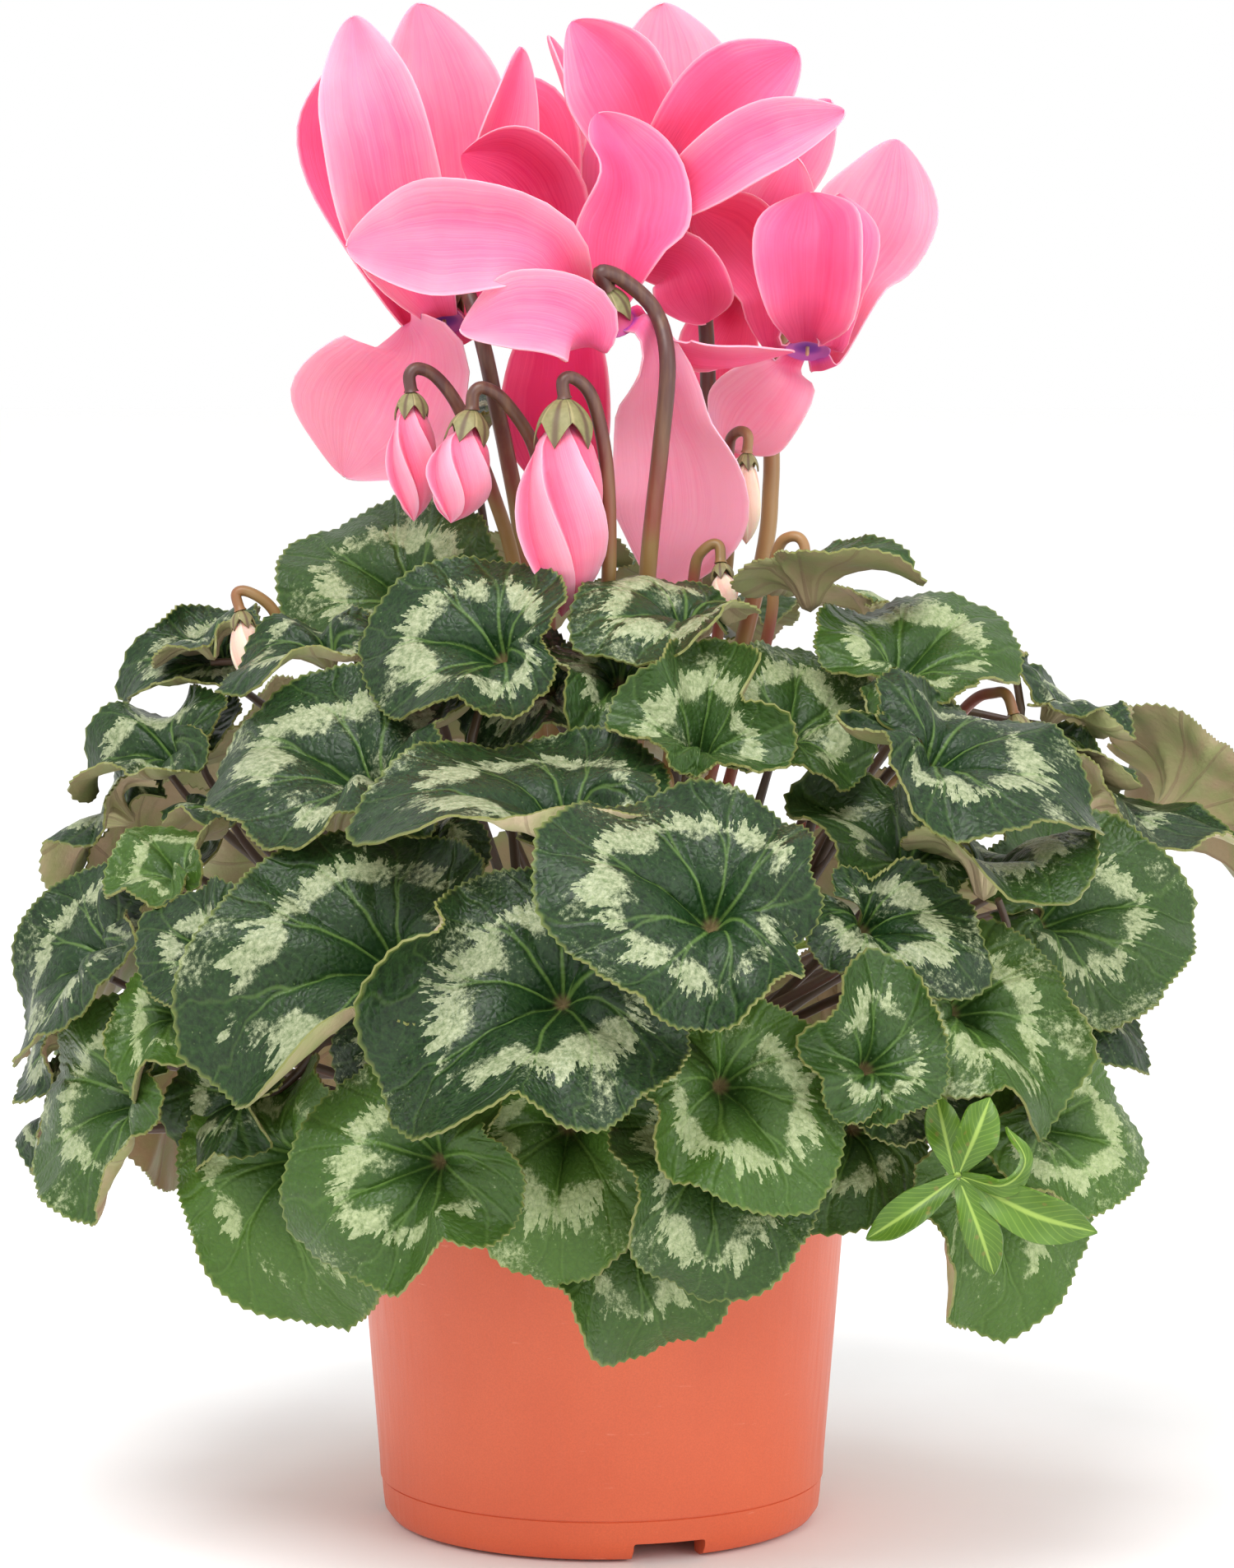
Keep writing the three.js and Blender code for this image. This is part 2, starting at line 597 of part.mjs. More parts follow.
// Each stalk takes the free root that is nearest below where it's first seen.
function takeRoot(roots, seen) {
  const goal = seenAt(seen[0]).multiplyScalar(0.15);
  const distance = (root) => Math.hypot(root.place.x - goal.x, root.place.y - goal.y);
  roots.sort((a, b) => distance(a) - distance(b));
  return roots.shift();
}

// Each flower and bud: its petals, its calyx, and the seen part of its stalk, clear of the others.
function flowerHeads() {
  const blooms = BLOOMS.map((bloom) => ({ ...bloom, name: "bloom_" + bloom.name, colour: "petal" }));
  const heads = [...blooms, ...BUDS];
  heads.forEach((head, number) => {
    head.place = seenAt(head.calyx);
    const end = seenAt(head.mouth ?? head.tip);
    head.axis = end.clone().sub(head.place).normalize();
    const scale = head.petals ? 1 : Math.max(0.55, head.radius / 7);
    if (head.petals) {
      const mouth = head.place.clone().addScaledVector(head.axis, TUBE.length);
      head.body = tubeSolid(head.place, head.axis);
      const outward = petalRoots(head.petals, mouth, head.axis);
      head.petals.forEach((petal, k) => {
        const rows = petalRows(petal, mouth, head.axis, outward[k]);
        head.body = head.body.add(petalSolid(rows, 10 * number + k));
      });
    } else {
      const length = end.distanceTo(head.place);
      head.body = budSolid(head, length, scale);
    }
    head.cap = calyxSolid(head.place, head.axis, scale);
  });
  const bodies = heads.map((head) => head.body);
  const stalks = [];
  for (const head of heads) {
    const others = [...bodies, ...stalks, ...heads.filter((other) => other !== head).map((other) => other.cap)];
    const way = BEND_WAYS.find((tried) => isClear(stalkRod(head, seenStalk(head, tried), GAP), others));
    if (!way) throw new Error("no clear bend for the stalk of " + head.name);
    head.seen = seenStalk(head, way);
    head.seenPart = stalkRod(head, head.seen, 0);
    stalks.push(head.seenPart);
  }
  return heads;
}

function crownRoots() {
  return CROWN.stalks.flatMap((count, ring) =>
    Array.from({ length: count }, (_, k) =>
      crownPlace(CROWN.stalkRings[ring], (2 * Math.PI * (k + 0.5 * ring)) / count),
    ),
  );
}

// Grows each of the given heads' stalks, clear of the other heads and of the obstacles.
function growStalks(growing, heads, roots, obstacles) {
  for (const head of growing) {
    const root = takeRoot(roots, head.stalk);
    const others = [...obstacles, ...heads.map((other) => other.body)];
    for (const other of heads) {
      if (other !== head) others.push(other.cap, other.stem ?? other.seenPart);
    }
    const way = SWAY_WAYS.find((tried) => isClear(stalkRod(head, stalkPath(head, root, tried), GAP), others));
    if (!way) throw new Error("no clear way for the stalk of " + head.name);
    head.stem = stalkRod(head, stalkPath(head, root, way), 0);
  }
}

// Each leaf: where its heart (the end of its stalk) and its tip are in the photograph, its size from
// heart to tip, how far out it lies in the layers, how far it leans from the dome towards the sky, and
// its curls: at an angle from the tip, over a width, by a bend of the margin, all in degrees.
const FRONT_LEAVES = [
  // left edge, from the bottom up
  { heart: [75, 1350], tip: [8, 1425], size: 24, layer: 0, lean: 10 },
  { heart: [78, 1262], tip: [6, 1340], size: 28, layer: 0, lean: 0 },
  { heart: [212, 1344], tip: [45, 1472], size: 42, layer: 2, lean: 0 },
  { heart: [172, 1188], tip: [32, 1300], size: 42, layer: 2, lean: 5 },
  { heart: [152, 990], tip: [58, 1083], size: 30, layer: 0, lean: 0, far: true },
  { heart: [222, 1072], tip: [135, 1005], size: 27, layer: 3, lean: 20 },
  { heart: [222, 935], tip: [72, 972], size: 33, layer: 2, lean: 5, front: 0.7, curls: [[80, 40, 80]] },
  { heart: [250, 925], tip: [195, 872], size: 24, layer: 1, lean: 25 },
  { heart: [272, 806], tip: [160, 842], size: 29, layer: 1, lean: 0, front: 0.7 },
  { heart: [292, 880], tip: [255, 822], size: 22, layer: 2, lean: 15 },
  // left front
  { heart: [359, 1408], tip: [405, 1655], size: 47, layer: 0, lean: -5, curls: [[-70, 40, 30]] },
  { heart: [300, 1332], tip: [218, 1402], size: 26, layer: 0, lean: 0 },
  { heart: [216, 1232], tip: [186, 1330], size: 25, layer: 2, lean: 0 },
  { heart: [478, 1172], tip: [208, 1292], size: 57, layer: 2, lean: 5, curls: [[62, 32, 110], [-60, 40, 25]] },
  { heart: [284, 1172], tip: [166, 1128], size: 27, layer: 4, lean: 0, curls: [[170, 60, 60]] },
  { heart: [270, 985], tip: [282, 1042], size: 22, layer: 0, lean: 15 },
  { heart: [455, 962], tip: [217, 925], size: 50, layer: 3, lean: 10, curls: [[-100, 50, 40]] },
  { heart: [531, 1411], tip: [372, 1492], size: 41, layer: 2, lean: 0, curls: [[70, 40, 35]] },
  { heart: [528, 1262], tip: [432, 1312], size: 27, layer: 0, lean: 0 },
  { heart: [520, 1045], tip: [508, 1106], size: 26, layer: 0, lean: 20 },
  // middle
  { heart: [690, 1368], tip: [668, 1574], size: 42, layer: 1, lean: 0, curls: [[90, 50, 45], [-90, 50, 45]] },
  { heart: [765, 1470], tip: [795, 1677], size: 42, layer: 0, lean: 0 },
  { heart: [682, 1212], tip: [505, 1322], size: 53, layer: 3, lean: 5, curls: [[-55, 26, 120], [40, 40, 25]] },
  { heart: [688, 1006], tip: [430, 1030], size: 52, layer: 4, lean: 22, curls: [[95, 40, 125], [-90, 50, 30]] },
  { heart: [705, 1062], tip: [762, 945], size: 25, layer: 2, lean: 10 },
  { heart: [843, 956], tip: [877, 800], size: 37, layer: 3, lean: 5, cup: 28 },
  { heart: [862, 1136], tip: [702, 1083], size: 47, layer: 4, lean: 5, cup: 8 },
  { heart: [877, 1318], tip: [965, 1446], size: 38, layer: 3, lean: 0, cup: 14 },
  { heart: [862, 1402], tip: [858, 1590], size: 40, layer: 1, lean: 0 },
  // right front
  { heart: [1040, 1372], tip: [990, 1480], size: 29, layer: 0, lean: 0 },
  { heart: [1047, 1304], tip: [1040, 1166], size: 29, layer: 4, lean: 0, cup: 20 },
  { heart: [1037, 1148], tip: [1150, 1215], size: 32, layer: 3, lean: 5, curls: [[120, 45, 80]], cup: 22 },
  { heart: [1100, 1056], tip: [966, 982], size: 34, layer: 1, lean: 15, curls: [[-40, 50, 80]] },
  { heart: [955, 902], tip: [975, 772], size: 34, layer: 2, lean: 0 },
  { heart: [1104, 987], tip: [1258, 1066], size: 43, layer: 4, lean: 8, curls: [[-150, 50, 45]] },
  { heart: [1080, 862], tip: [1236, 772], size: 38, layer: 3, lean: 0, front: 0.5, curls: [[-120, 50, 50]] },
  { heart: [1161, 1229], tip: [1250, 1345], size: 39, layer: 2, lean: 0, curls: [[60, 40, 50]] },
  { heart: [1196, 1106], tip: [1354, 1198], size: 38, layer: 3, lean: 55 },
  { heart: [1262, 1128], tip: [1458, 1120], size: 44, layer: 1, lean: 0, front: 0.6 },
  { heart: [1062, 1322], tip: [1184, 1396], size: 29, layer: 3, lean: 12, curls: [[-30, 60, 60]] },
  { heart: [1176, 1432], tip: [1220, 1633], size: 43, layer: 1, lean: 0 },
  { heart: [1222, 1356], tip: [1278, 1468], size: 29, layer: 0, lean: 0 },
  { heart: [1236, 1372], tip: [1374, 1437], size: 34, layer: 1, lean: 0 },
  { heart: [1282, 1212], tip: [1402, 1306], size: 30, layer: 0, lean: 25 },
  { heart: [1272, 946], tip: [1328, 1012], size: 24, layer: 2, lean: 5 },
  { heart: [1300, 990], tip: [1496, 1116], size: 50, layer: 0, lean: 10, far: true },
  { heart: [1236, 936], tip: [1350, 900], size: 31, layer: 0, lean: 10, far: true },
  // top
  { heart: [505, 745], tip: [360, 665], size: 42, layer: 3, lean: -30, front: 1.2, curls: [[150, 50, -40]] },
  { heart: [617, 815], tip: [476, 802], size: 40, layer: 4, lean: -24, curls: [[150, 50, 60]] },
  { heart: [668, 842], tip: [622, 908], size: 30, layer: 1, lean: -15 },
  { heart: [752, 842], tip: [722, 905], size: 27, layer: 1, lean: -10 },
  { heart: [400, 800], tip: [330, 826], size: 30, layer: 2, lean: 5, front: 0.7, curls: [[90, 50, 70]] },
  { heart: [445, 745], tip: [383, 712], size: 30, layer: 0, lean: 10, far: true },
  { heart: [612, 690], tip: [560, 622], size: 30, layer: 0, lean: 0, far: true },
  { heart: [830, 772], tip: [716, 796], size: 33, layer: 3, lean: 8, curls: [[90, 60, 60]] },
  { heart: [985, 742], tip: [1092, 742], size: 34, layer: 3, lean: 30, curls: [[-90, 60, 60]] },
  { heart: [1064, 765], tip: [1140, 708], size: 32, layer: 0, lean: 10, far: true },
];

// The sides and back, which the photograph doesn't show: rows of leaves round the dome, a little out of
// line. A row: the height of its hearts on the dome and its azimuths in degrees, count, size and layer.
const BACK_ROWS = [
  { rise: -8, from: 15, to: 165, count: 5, size: 54, layer: 0 },
  { rise: 14, from: 8, to: 172, count: 5, size: 56, layer: 1 },
  { rise: 36, from: 20, to: 160, count: 4, size: 48, layer: 2 },
  { rise: 60, from: 30, to: 150, count: 2, size: 42, layer: 3 },
];

function domeHit(px, py, scale, far) {
  const line = sightLine(px, py);
  const centre = new THREE.Vector3(DOME.x, 0, DOME.z);
  const half = new THREE.Vector3(DOME.side, DOME.front, DOME.top).multiplyScalar(scale);
  const o = EYE.clone().sub(centre).divide(half);
  const d = line.clone().divide(half);
  const a = d.dot(d);
  const b = o.dot(d);
  const c = o.dot(o) - 1;
  const root = Math.sqrt(Math.max(0, b * b - a * c));
  return EYE.clone().addScaledVector(line, (-b + (far ? root : -root)) / a);
}

// The blade faces out of the dome, and more to the sky than the dome does, or turned more to the viewer.
function facing(heart, lean, front = 0) {
  const out = heart.clone().sub(new THREE.Vector3(DOME.x, 0, DOME.z));
  out.divide(new THREE.Vector3(DOME.side ** 2, DOME.front ** 2, DOME.top ** 2)).normalize();
  const flat = new THREE.Vector3(out.x, out.y - front, 0).normalize();
  const rise = Math.asin(out.z) * 0.75 + THREE.MathUtils.degToRad(18 + lean);
  return flat.multiplyScalar(Math.cos(rise)).addScaledVector(Z, Math.sin(rise));
}

// The direction in the blade's plane that is seen as the given step in the photograph.
function tipDirection(normal, dx, dy) {
  const across = X.clone().addScaledVector(normal, -normal.x).normalize();
  const up = normal.clone().cross(across);
  const leastSeen = 0.4;
  let seen = up.dot(VIEW_UP);
  if (Math.abs(seen) < leastSeen) seen = seen < 0 ? -leastSeen : leastSeen;
  const right = dx / Math.max(0.35, across.x);
  const rise = (-dy - right * across.dot(VIEW_UP)) / seen;
  return across.multiplyScalar(right).addScaledVector(up, rise).normalize();
}

function leafTable() {
  const leaves = FRONT_LEAVES.map((row) => {
    const heart = domeHit(...row.heart, 0.9 + 0.02 * row.layer, row.far);
    const normal = facing(heart, row.lean, row.front);
    const tip = tipDirection(normal, row.tip[0] - row.heart[0], row.tip[1] - row.heart[1]);
    const away = row.far ? normal : EYE.clone().sub(heart).normalize();
    return { ...row, heart, normal, tip, away };
  });
  for (const row of BACK_ROWS) {
    for (let k = 0; k < row.count; k++) {
      const index = leaves.length;
      const share = (k + between(index, 5, 0.25, 0.75)) / row.count;
      const azimuth = THREE.MathUtils.degToRad(row.from + (row.to - row.from) * share);
      const rise = THREE.MathUtils.degToRad(row.rise + between(index, 6, -5, 5));
      const scale = 0.9 + 0.02 * row.layer;
      const heart = new THREE.Vector3(
        DOME.x + scale * DOME.side * Math.cos(rise) * Math.cos(azimuth),
        scale * DOME.front * Math.cos(rise) * Math.sin(azimuth),
        DOME.z + scale * DOME.top * Math.sin(rise),
      );
      const normal = facing(heart, 0);
      const down = Z.clone().negate().addScaledVector(normal, normal.z).normalize();
      const tip = down.applyAxisAngle(normal, between(index, 7, -0.9, 0.9));
      const size = row.size * between(index, 8, 0.85, 1.1);
      leaves.push({ heart, normal, tip, size, layer: row.layer, away: normal });
    }
  }
  return leaves.map(shapeLeaf);
}

// The bends of a blade: its funnel, the fold along its midrib, its wavy margin, drooping tip and curls.
function shapeLeaf(leaf, index) {
  const radians = THREE.MathUtils.degToRad;
  const curls = leaf.curls ?? [
    [between(index, 10, -170, 0), 40, between(index, 11, 10, 70)],
    [between(index, 12, 0, 170), 40, between(index, 13, 10, 70)],
  ];
  return {
    ...leaf,
    index,
    side: leaf.normal.clone().cross(leaf.tip),
    funnel: radians(leaf.cup ?? between(index, 1, 4, 16)),
    fold: radians(between(index, 2, 0, 9)),
    wave: radians(between(index, 3, 16, 32)),
    waves: 3 + Math.floor(between(index, 4, 0, 3)),
    phase: between(index, 5, 0, 2 * Math.PI),
    curls: [[0, 24, between(index, 9, -60, -15)], ...curls].map((curl) => curl.map(radians)),
  };
}

// Heart-shaped outline: 1 at the tip, where the angle is 0, and a narrow notch at the leaf stalk.
const NOTCH_ANGLE = Math.PI - 0.1;
function leafOutline(angle) {
  const a = Math.abs(angle);
  const body = 0.64 + 0.09 * Math.cos(a) + 0.27 * Math.exp(-1.5 * a);
  return body * (1 - 0.25 * Math.exp(-(((Math.PI - a) / 0.25) ** 2)));
}

function marginBend(leaf, angle) {
  let bend = leaf.wave * Math.sin(leaf.waves * angle + leaf.phase);
  for (const [at, width, by] of leaf.curls) {
    const off = Math.atan2(Math.sin(angle - at), Math.cos(angle - at));
    bend += by * Math.exp(-((off / width) ** 2));
  }
  return Math.abs(bend) < 0.01 ? 0.01 : bend;
}

// A blade is straight from its heart to 0.45 of its reach, and bends evenly from there to the margin.
function leafPoint(leaf, share, angle, tooth, depth) {
  const flat = 0.45;
  const heart = leaf.heart.clone();
  if (share === 0) return heart.addScaledVector(leaf.normal, -depth);
  const reach = leaf.size * (leafOutline(angle) + tooth);
  const rise = leaf.funnel + leaf.fold * Math.abs(Math.sin(angle));
  const bend = marginBend(leaf, angle);
  const last = rise + (bend * Math.max(0, share - flat)) / (1 - flat);
  const straight = Math.min(share, flat) * reach;
  const arc = ((1 - flat) * reach) / bend;
  const out = straight * Math.cos(rise) + arc * (Math.sin(last) - Math.sin(rise)) + depth * Math.sin(last);
  const up = straight * Math.sin(rise) + arc * (Math.cos(rise) - Math.cos(last)) - depth * Math.cos(last);
  return heart
    .addScaledVector(leaf.tip, out * Math.cos(angle))
    .addScaledVector(leaf.side, out * Math.sin(angle))
    .addScaledVector(leaf.normal, up);
}

// A thin blade with a toothed margin. Its notch runs in to the heart.
function bladeSolid(leaf, clear = 0) {
  const sectors = leaf.size < 44 ? 6 : 8;
  const finer = leaf.size > 48 ? 3 : 2;
  const ray = (share) => -NOTCH_ANGLE + 2 * NOTCH_ANGLE * share;
  const sheet = (depth) => {
    const points = [leafPoint(leaf, 0, 0, 0, depth)];
    for (let j = 0; j <= sectors; j++) points.push(leafPoint(leaf, 0.6, ray(j / sectors), 0, depth));
    for (let i = 0; i <= finer * sectors; i++) {
      const tooth = i % finer ? -0.015 : 0.02;
      points.push(leafPoint(leaf, 1, ray(i / (finer * sectors)), tooth, depth));
    }
    return points;
  };
  const ring = (j) => 1 + j;
  const rim = (i) => 2 + sectors + i;
  const faces = [];
  for (let j = 0; j < sectors; j++) {
    faces.push([0, ring(j), ring(j + 1)], [ring(j), rim(finer * j), rim(finer * j + 1)]);
    faces.push([ring(j), rim(finer * j + 1), ring(j + 1)]);
    for (let m = 1; m < finer; m++) {
      faces.push([ring(j + 1), rim(finer * j + m), rim(finer * j + m + 1)]);
    }
  }
  const edge = [0, ring(0)];
  for (let i = 0; i <= finer * sectors; i++) edge.push(rim(i));
  edge.push(ring(sectors));
  return plate(sheet(-clear), sheet(LEAF_THICKNESS + clear), faces, edge);
}

// From the innermost layer out, each leaf takes the nearest clear place towards the outside.
const LEAF_STEPS = nearestFirst(
  Array.from({ length: 45 }, (_, k) => 1.5 * k).flatMap((away) =>
    [0, 3, -3, 6, -6, 10, 15, 20].map((rise) => [away, 1.5 * rise]),
  ),
);

function layLeaves(leaves, obstacles) {
  const done = [];
  const order = [...leaves].sort((a, b) => a.layer - b.layer);
  for (const leaf of order) {
    const seat = leaf.heart.clone();
    const step = LEAF_STEPS.find(([away, rise]) => {
      const sunk = leaf.layer > 0 ? Math.abs(rise) : rise;
      leaf.heart = seat.clone().addScaledVector(leaf.away, away).addScaledVector(leaf.normal, sunk / 1.5);
      return isClear(bladeSolid(leaf, GAP), [...done, ...obstacles]);
    });
    if (!step) throw new Error("no clear place for leaf " + leaf.index);
    leaf.step = step;
    leaf.blade = bladeSolid(leaf);
    done.push(leaf.blade);
  }
}

// Leaves that grow near each other share a shoot on the crown: its place, and the leaves it carries.
function shoots(leaves) {
  const azimuthOf = (p) => Math.atan2(p.y, p.x - DOME.x);
  const made = [];
  LEAF_HEIGHTS.forEach((low, band) => {
    const high = band === 0 ? 1e9 : LEAF_HEIGHTS[band - 1];
    const own = leaves.filter((leaf) => leaf.heart.z >= low && leaf.heart.z < high);
    own.sort((a, b) => azimuthOf(a.heart) - azimuthOf(b.heart));
    const count = Math.round((SHOOT.count * own.length) / leaves.length);
    const groups = Array.from({ length: count }, (_, k) =>
      own.slice(Math.round((k * own.length) / count), Math.round(((k + 1) * own.length) / count)),
    );
    const azimuths = groups.map((group) => {
      const middle = group.reduce((sum, leaf) => sum.add(leaf.heart), new THREE.Vector3());
      return azimuthOf(middle.divideScalar(group.length));
    });
    spread(azimuths, (2 * SHOOT.radius + 3 * GAP) / CROWN.shoots[band]);
    groups.forEach((group, k) => {
      made.push({ ...crownPlace(CROWN.shoots[band], azimuths[k]), leaves: group });
    });
  });
  return made;
}

// Pushes sorted angles apart until neighbours are at least a step from each other.
function spread(angles, step) {
  for (let turn = 0; turn < 300; turn++) {
    angles.forEach((a, k) => {
      const next = (k + 1) % angles.length;
      const gap = angles[next] - a + (next === 0 ? 2 * Math.PI : 0);
      if (gap < step) {
        angles[k] -= (step - gap) / 2;
        angles[next] += (step - gap) / 2;
      }
    });
  }
}

// A leaf stalk's ways from its shoot to the underside of its blade: how far it follows the shoot, how
// far it comes from behind the blade, and how far it's bent up and sideways, all as shares of its reach.
function* stalkWays() {
  for (const follow of [0.4, 0.6, 0.25, 0.8, 1]) {
    for (const behind of [0.3, 0.12, 0.5]) {
      for (const up of [0, 0.2, 0.4, -0.2, 0.6]) {
        for (const sway of [0, 0.15, -0.15, 0.3, -0.3, 0.45, -0.45]) yield { follow, behind, up, sway };
      }
    }
  }
}

function petiolePath(shoot, leaf, way) {
  const beside = Z.clone().cross(shoot.out).normalize();
  const place = SHOOT.spacing * (Math.max(0, shoot.leaves.indexOf(leaf)) - 1);
  const start = shoot.place.clone().addScaledVector(shoot.out, 0.5 * SHOOT.length).addScaledVector(beside, place);
  const end = leafPoint(leaf, 0.12, 0.38, 0, LEAF_THICKNESS / 2);
  const reach = end.distanceTo(start);
  const first = start.clone().addScaledVector(shoot.out, way.follow * reach);
  const second = end
    .clone()
    .addScaledVector(leaf.normal, -way.behind * reach)
    .addScaledVector(leaf.side, way.sway * reach)
    .addScaledVector(Z, way.up * reach);
  const curve = new THREE.CubicBezierCurve3(start, first, second, end);
  return curve.getPoints(3);
}

function petioleRod(path, clear) {
  return rod(path, [0.8, 0.9, 0.85, 0.4].map((r) => r * PETIOLE_RADIUS + clear), 3);
}

// Grows each leaf's stalk from its own shoot, or from the nearest one that has a clear way to it.
function growPetioles(groups, obstacles) {
  const leaves = groups.flatMap((shoot) => shoot.leaves);
  const stems = [];
  for (const shoot of groups) {
    const knob = [shoot.place, shoot.place.clone().addScaledVector(shoot.out, SHOOT.length)];
    shoot.solid = rod(knob, [SHOOT.radius, 0.9 * SHOOT.radius], 4);
    stems.push({ shoot, solid: shoot.solid });
  }
  const homes = new Map(groups.flatMap((shoot) => shoot.leaves.map((leaf) => [leaf, shoot])));
  for (const leaf of leaves.sort((a, b) => a.heart.length() - b.heart.length())) {
    const home = homes.get(leaf);
    const nearest = [...groups].sort((a, b) => a.place.distanceTo(home.place) - b.place.distanceTo(home.place));
    const blades = leaves.filter((other) => other !== leaf).map((other) => other.blade);
    const found = findPetiole(leaf, nearest.slice(0, 5), [...obstacles, ...blades], stems);
    if (!found) throw new Error("no clear way for the stalk of leaf " + leaf.index);
    const stem = petioleRod(found.path, 0);
    stems.push({ shoot: found.shoot, solid: stem });
    found.shoot.solid = found.shoot.solid.add(stem).add(leaf.blade);
  }
}

function findPetiole(leaf, candidates, walls, stems) {
  for (const shoot of candidates) {
    const others = stems.filter((stem) => stem.shoot !== shoot).map((stem) => stem.solid);
    for (const way of stalkWays()) {
      const path = petiolePath(shoot, leaf, way);
      if (isClear(petioleRod(path, GAP), [...walls, ...others])) return { shoot, path };
    }
  }
  return null;
}

// Another plant's seedling grows from the soil: its narrow leaves stand together over the pot's rim.
// Each leaf's rows, like a petal's: pixel x, pixel y, depth, half its width in mm, turn in degrees.
const WEED_HEAD = [1164, 1430, 118];
const WEED_LEAVES = [
  [[1162, 1432, 118, 1.4, 0], [1104, 1474, 121, 4.4, 15], [1055, 1505, 118, 1.2, 0]],
  [[1166, 1434, 118, 1.4, 0], [1190, 1496, 121, 4.4, -15], [1208, 1549, 117, 1.2, 0]],
  [[1168, 1432, 118, 1.4, 0], [1256, 1476, 122, 6, 10], [1331, 1497, 118, 1.4, 0]],
  [[1160, 1426, 118, 1.4, 0], [1148, 1376, 118, 4.2, 0], [1138, 1331, 114, 1.2, 0]],
  [[1167, 1424, 118, 1.4, 0], [1186, 1378, 120, 5.4, 20], [1203, 1336, 116, 1.4, 0]],
  [[1170, 1430, 118, 1.2, 30], [1218, 1440, 123, 3, 40], [1244, 1412, 122, 2.6, 50], [1222, 1371, 117, 1, 40]],
];

function weedLeaf(table, shift) {
  const points = table.map((row) => seenAt(row).add(shift));
  const rows = points.map((p, k) => {
    const across = acrossAt(points, k, table[k][4]);
    return [p.x, p.y, p.z, table[k][3], across.x, across.y, across.z];
  });
  const calm = { size: 0, count: 0, phase: 0 };
  return strip([0, 0.3, 0.65, 1], 2, (u, v, side) => petalPoint(rows, calm, u, v, side));
}

function weedStem(head, [right, front, up], clear) {
  const rows = [
    WEED.root,
    [WEED.root[0], WEED.root[1], WEED.root[2] + 7],
    [WEED.root[0], WEED.root[1], WEED.root[2] + 14],
    [WEED.overRim[0] + right, WEED.overRim[1] - front, WEED.overRim[2] + up],
    [0.5 * (WEED.overRim[0] + head.x), 0.5 * (WEED.overRim[1] + head.y), 0.5 * (WEED.overRim[2] + head.z) + 9 + up],
    [head.x, head.y, head.z],
  ];
  const path = Array.from({ length: 11 }, (_, k) => vectorOf(along(rows, k / 10)));
  return rod(path, path.map(() => WEED.stemRadius + clear), 3);
}

// The weed comes towards the viewer until its leaves are clear, and its stem finds a way between.
function weedSolid(obstacles) {
  const away = EYE.clone().sub(seenAt(WEED_HEAD)).normalize();
  const ways = nearestFirst(
    [0, 6, -6, 12, -12, 18, -18, 24, -24, 30, -30, 36].flatMap((right) =>
      [0, 5, -5, 10, 20, 30].flatMap((front) => [0, 5, 10, 16, 24, 32, 40, -5].map((up) => [right, front, up])),
    ),
  );
  for (let step = 0; step < 50; step += 2) {
    const shift = away.clone().multiplyScalar(step);
    const leavesOf = WEED_LEAVES.map((table) => weedLeaf(table, shift));
    if (!leavesOf.every((leaf) => isClear(leaf, obstacles))) continue;
    const head = seenAt(WEED_HEAD).add(shift);
    const way = ways.find((tried) => isClear(weedStem(head, tried, GAP), obstacles));
    if (!way) continue;
    return leavesOf.reduce((sum, leaf) => sum.add(leaf), weedStem(head, way, 0));
  }
  throw new Error("no clear place for the weed");
}

// Fusing leaves one body: a sealed hollow is filled and a loose scrap is dropped.
function wholeOf(solid) {
  return solid.decompose().sort((a, b) => b.volume() - a.volume())[0];
}

const MATERIALS = {
  pot: { color: "#c4553a", roughness: 0.5 },
  soil: { color: "#3a2c22", roughness: 1 },
  corm: { color: "#6b4a35", roughness: 0.9 },
  petal: { color: "#ef7f93", roughness: 0.6 },
  pale: { color: "#e9c9b4", roughness: 0.6 },
  stalk: { color: "#8a6a4a", roughness: 0.6 },
  green: { color: "#7f8a4a", roughness: 0.6 },
  leaf: { color: "#4f6b4c", roughness: 0.55 },
  weed: { color: "#7fa53c", roughness: 0.55 },
};

function pieceOf(name, solid, material) {
  const mesh = new THREE.Mesh(
    geometryOf(wholeOf(solid)),
    new THREE.MeshStandardMaterial({ ...MATERIALS[material], metalness: 0 }),
  );
  mesh.name = name;
  return mesh;
}

// A flower or bud is two pieces: its petals, and its calyx with its stalk. A green bud is one piece.
function headPieces(head) {
  const stalk = head.cap.add(head.stem);
  if (head.colour === "green") return [pieceOf(head.name, stalk.add(head.body), "green")];
  return [
    pieceOf(head.name + "_petals", head.body, head.colour),
    pieceOf(head.name + "_stalk", stalk, "stalk"),
  ];
}

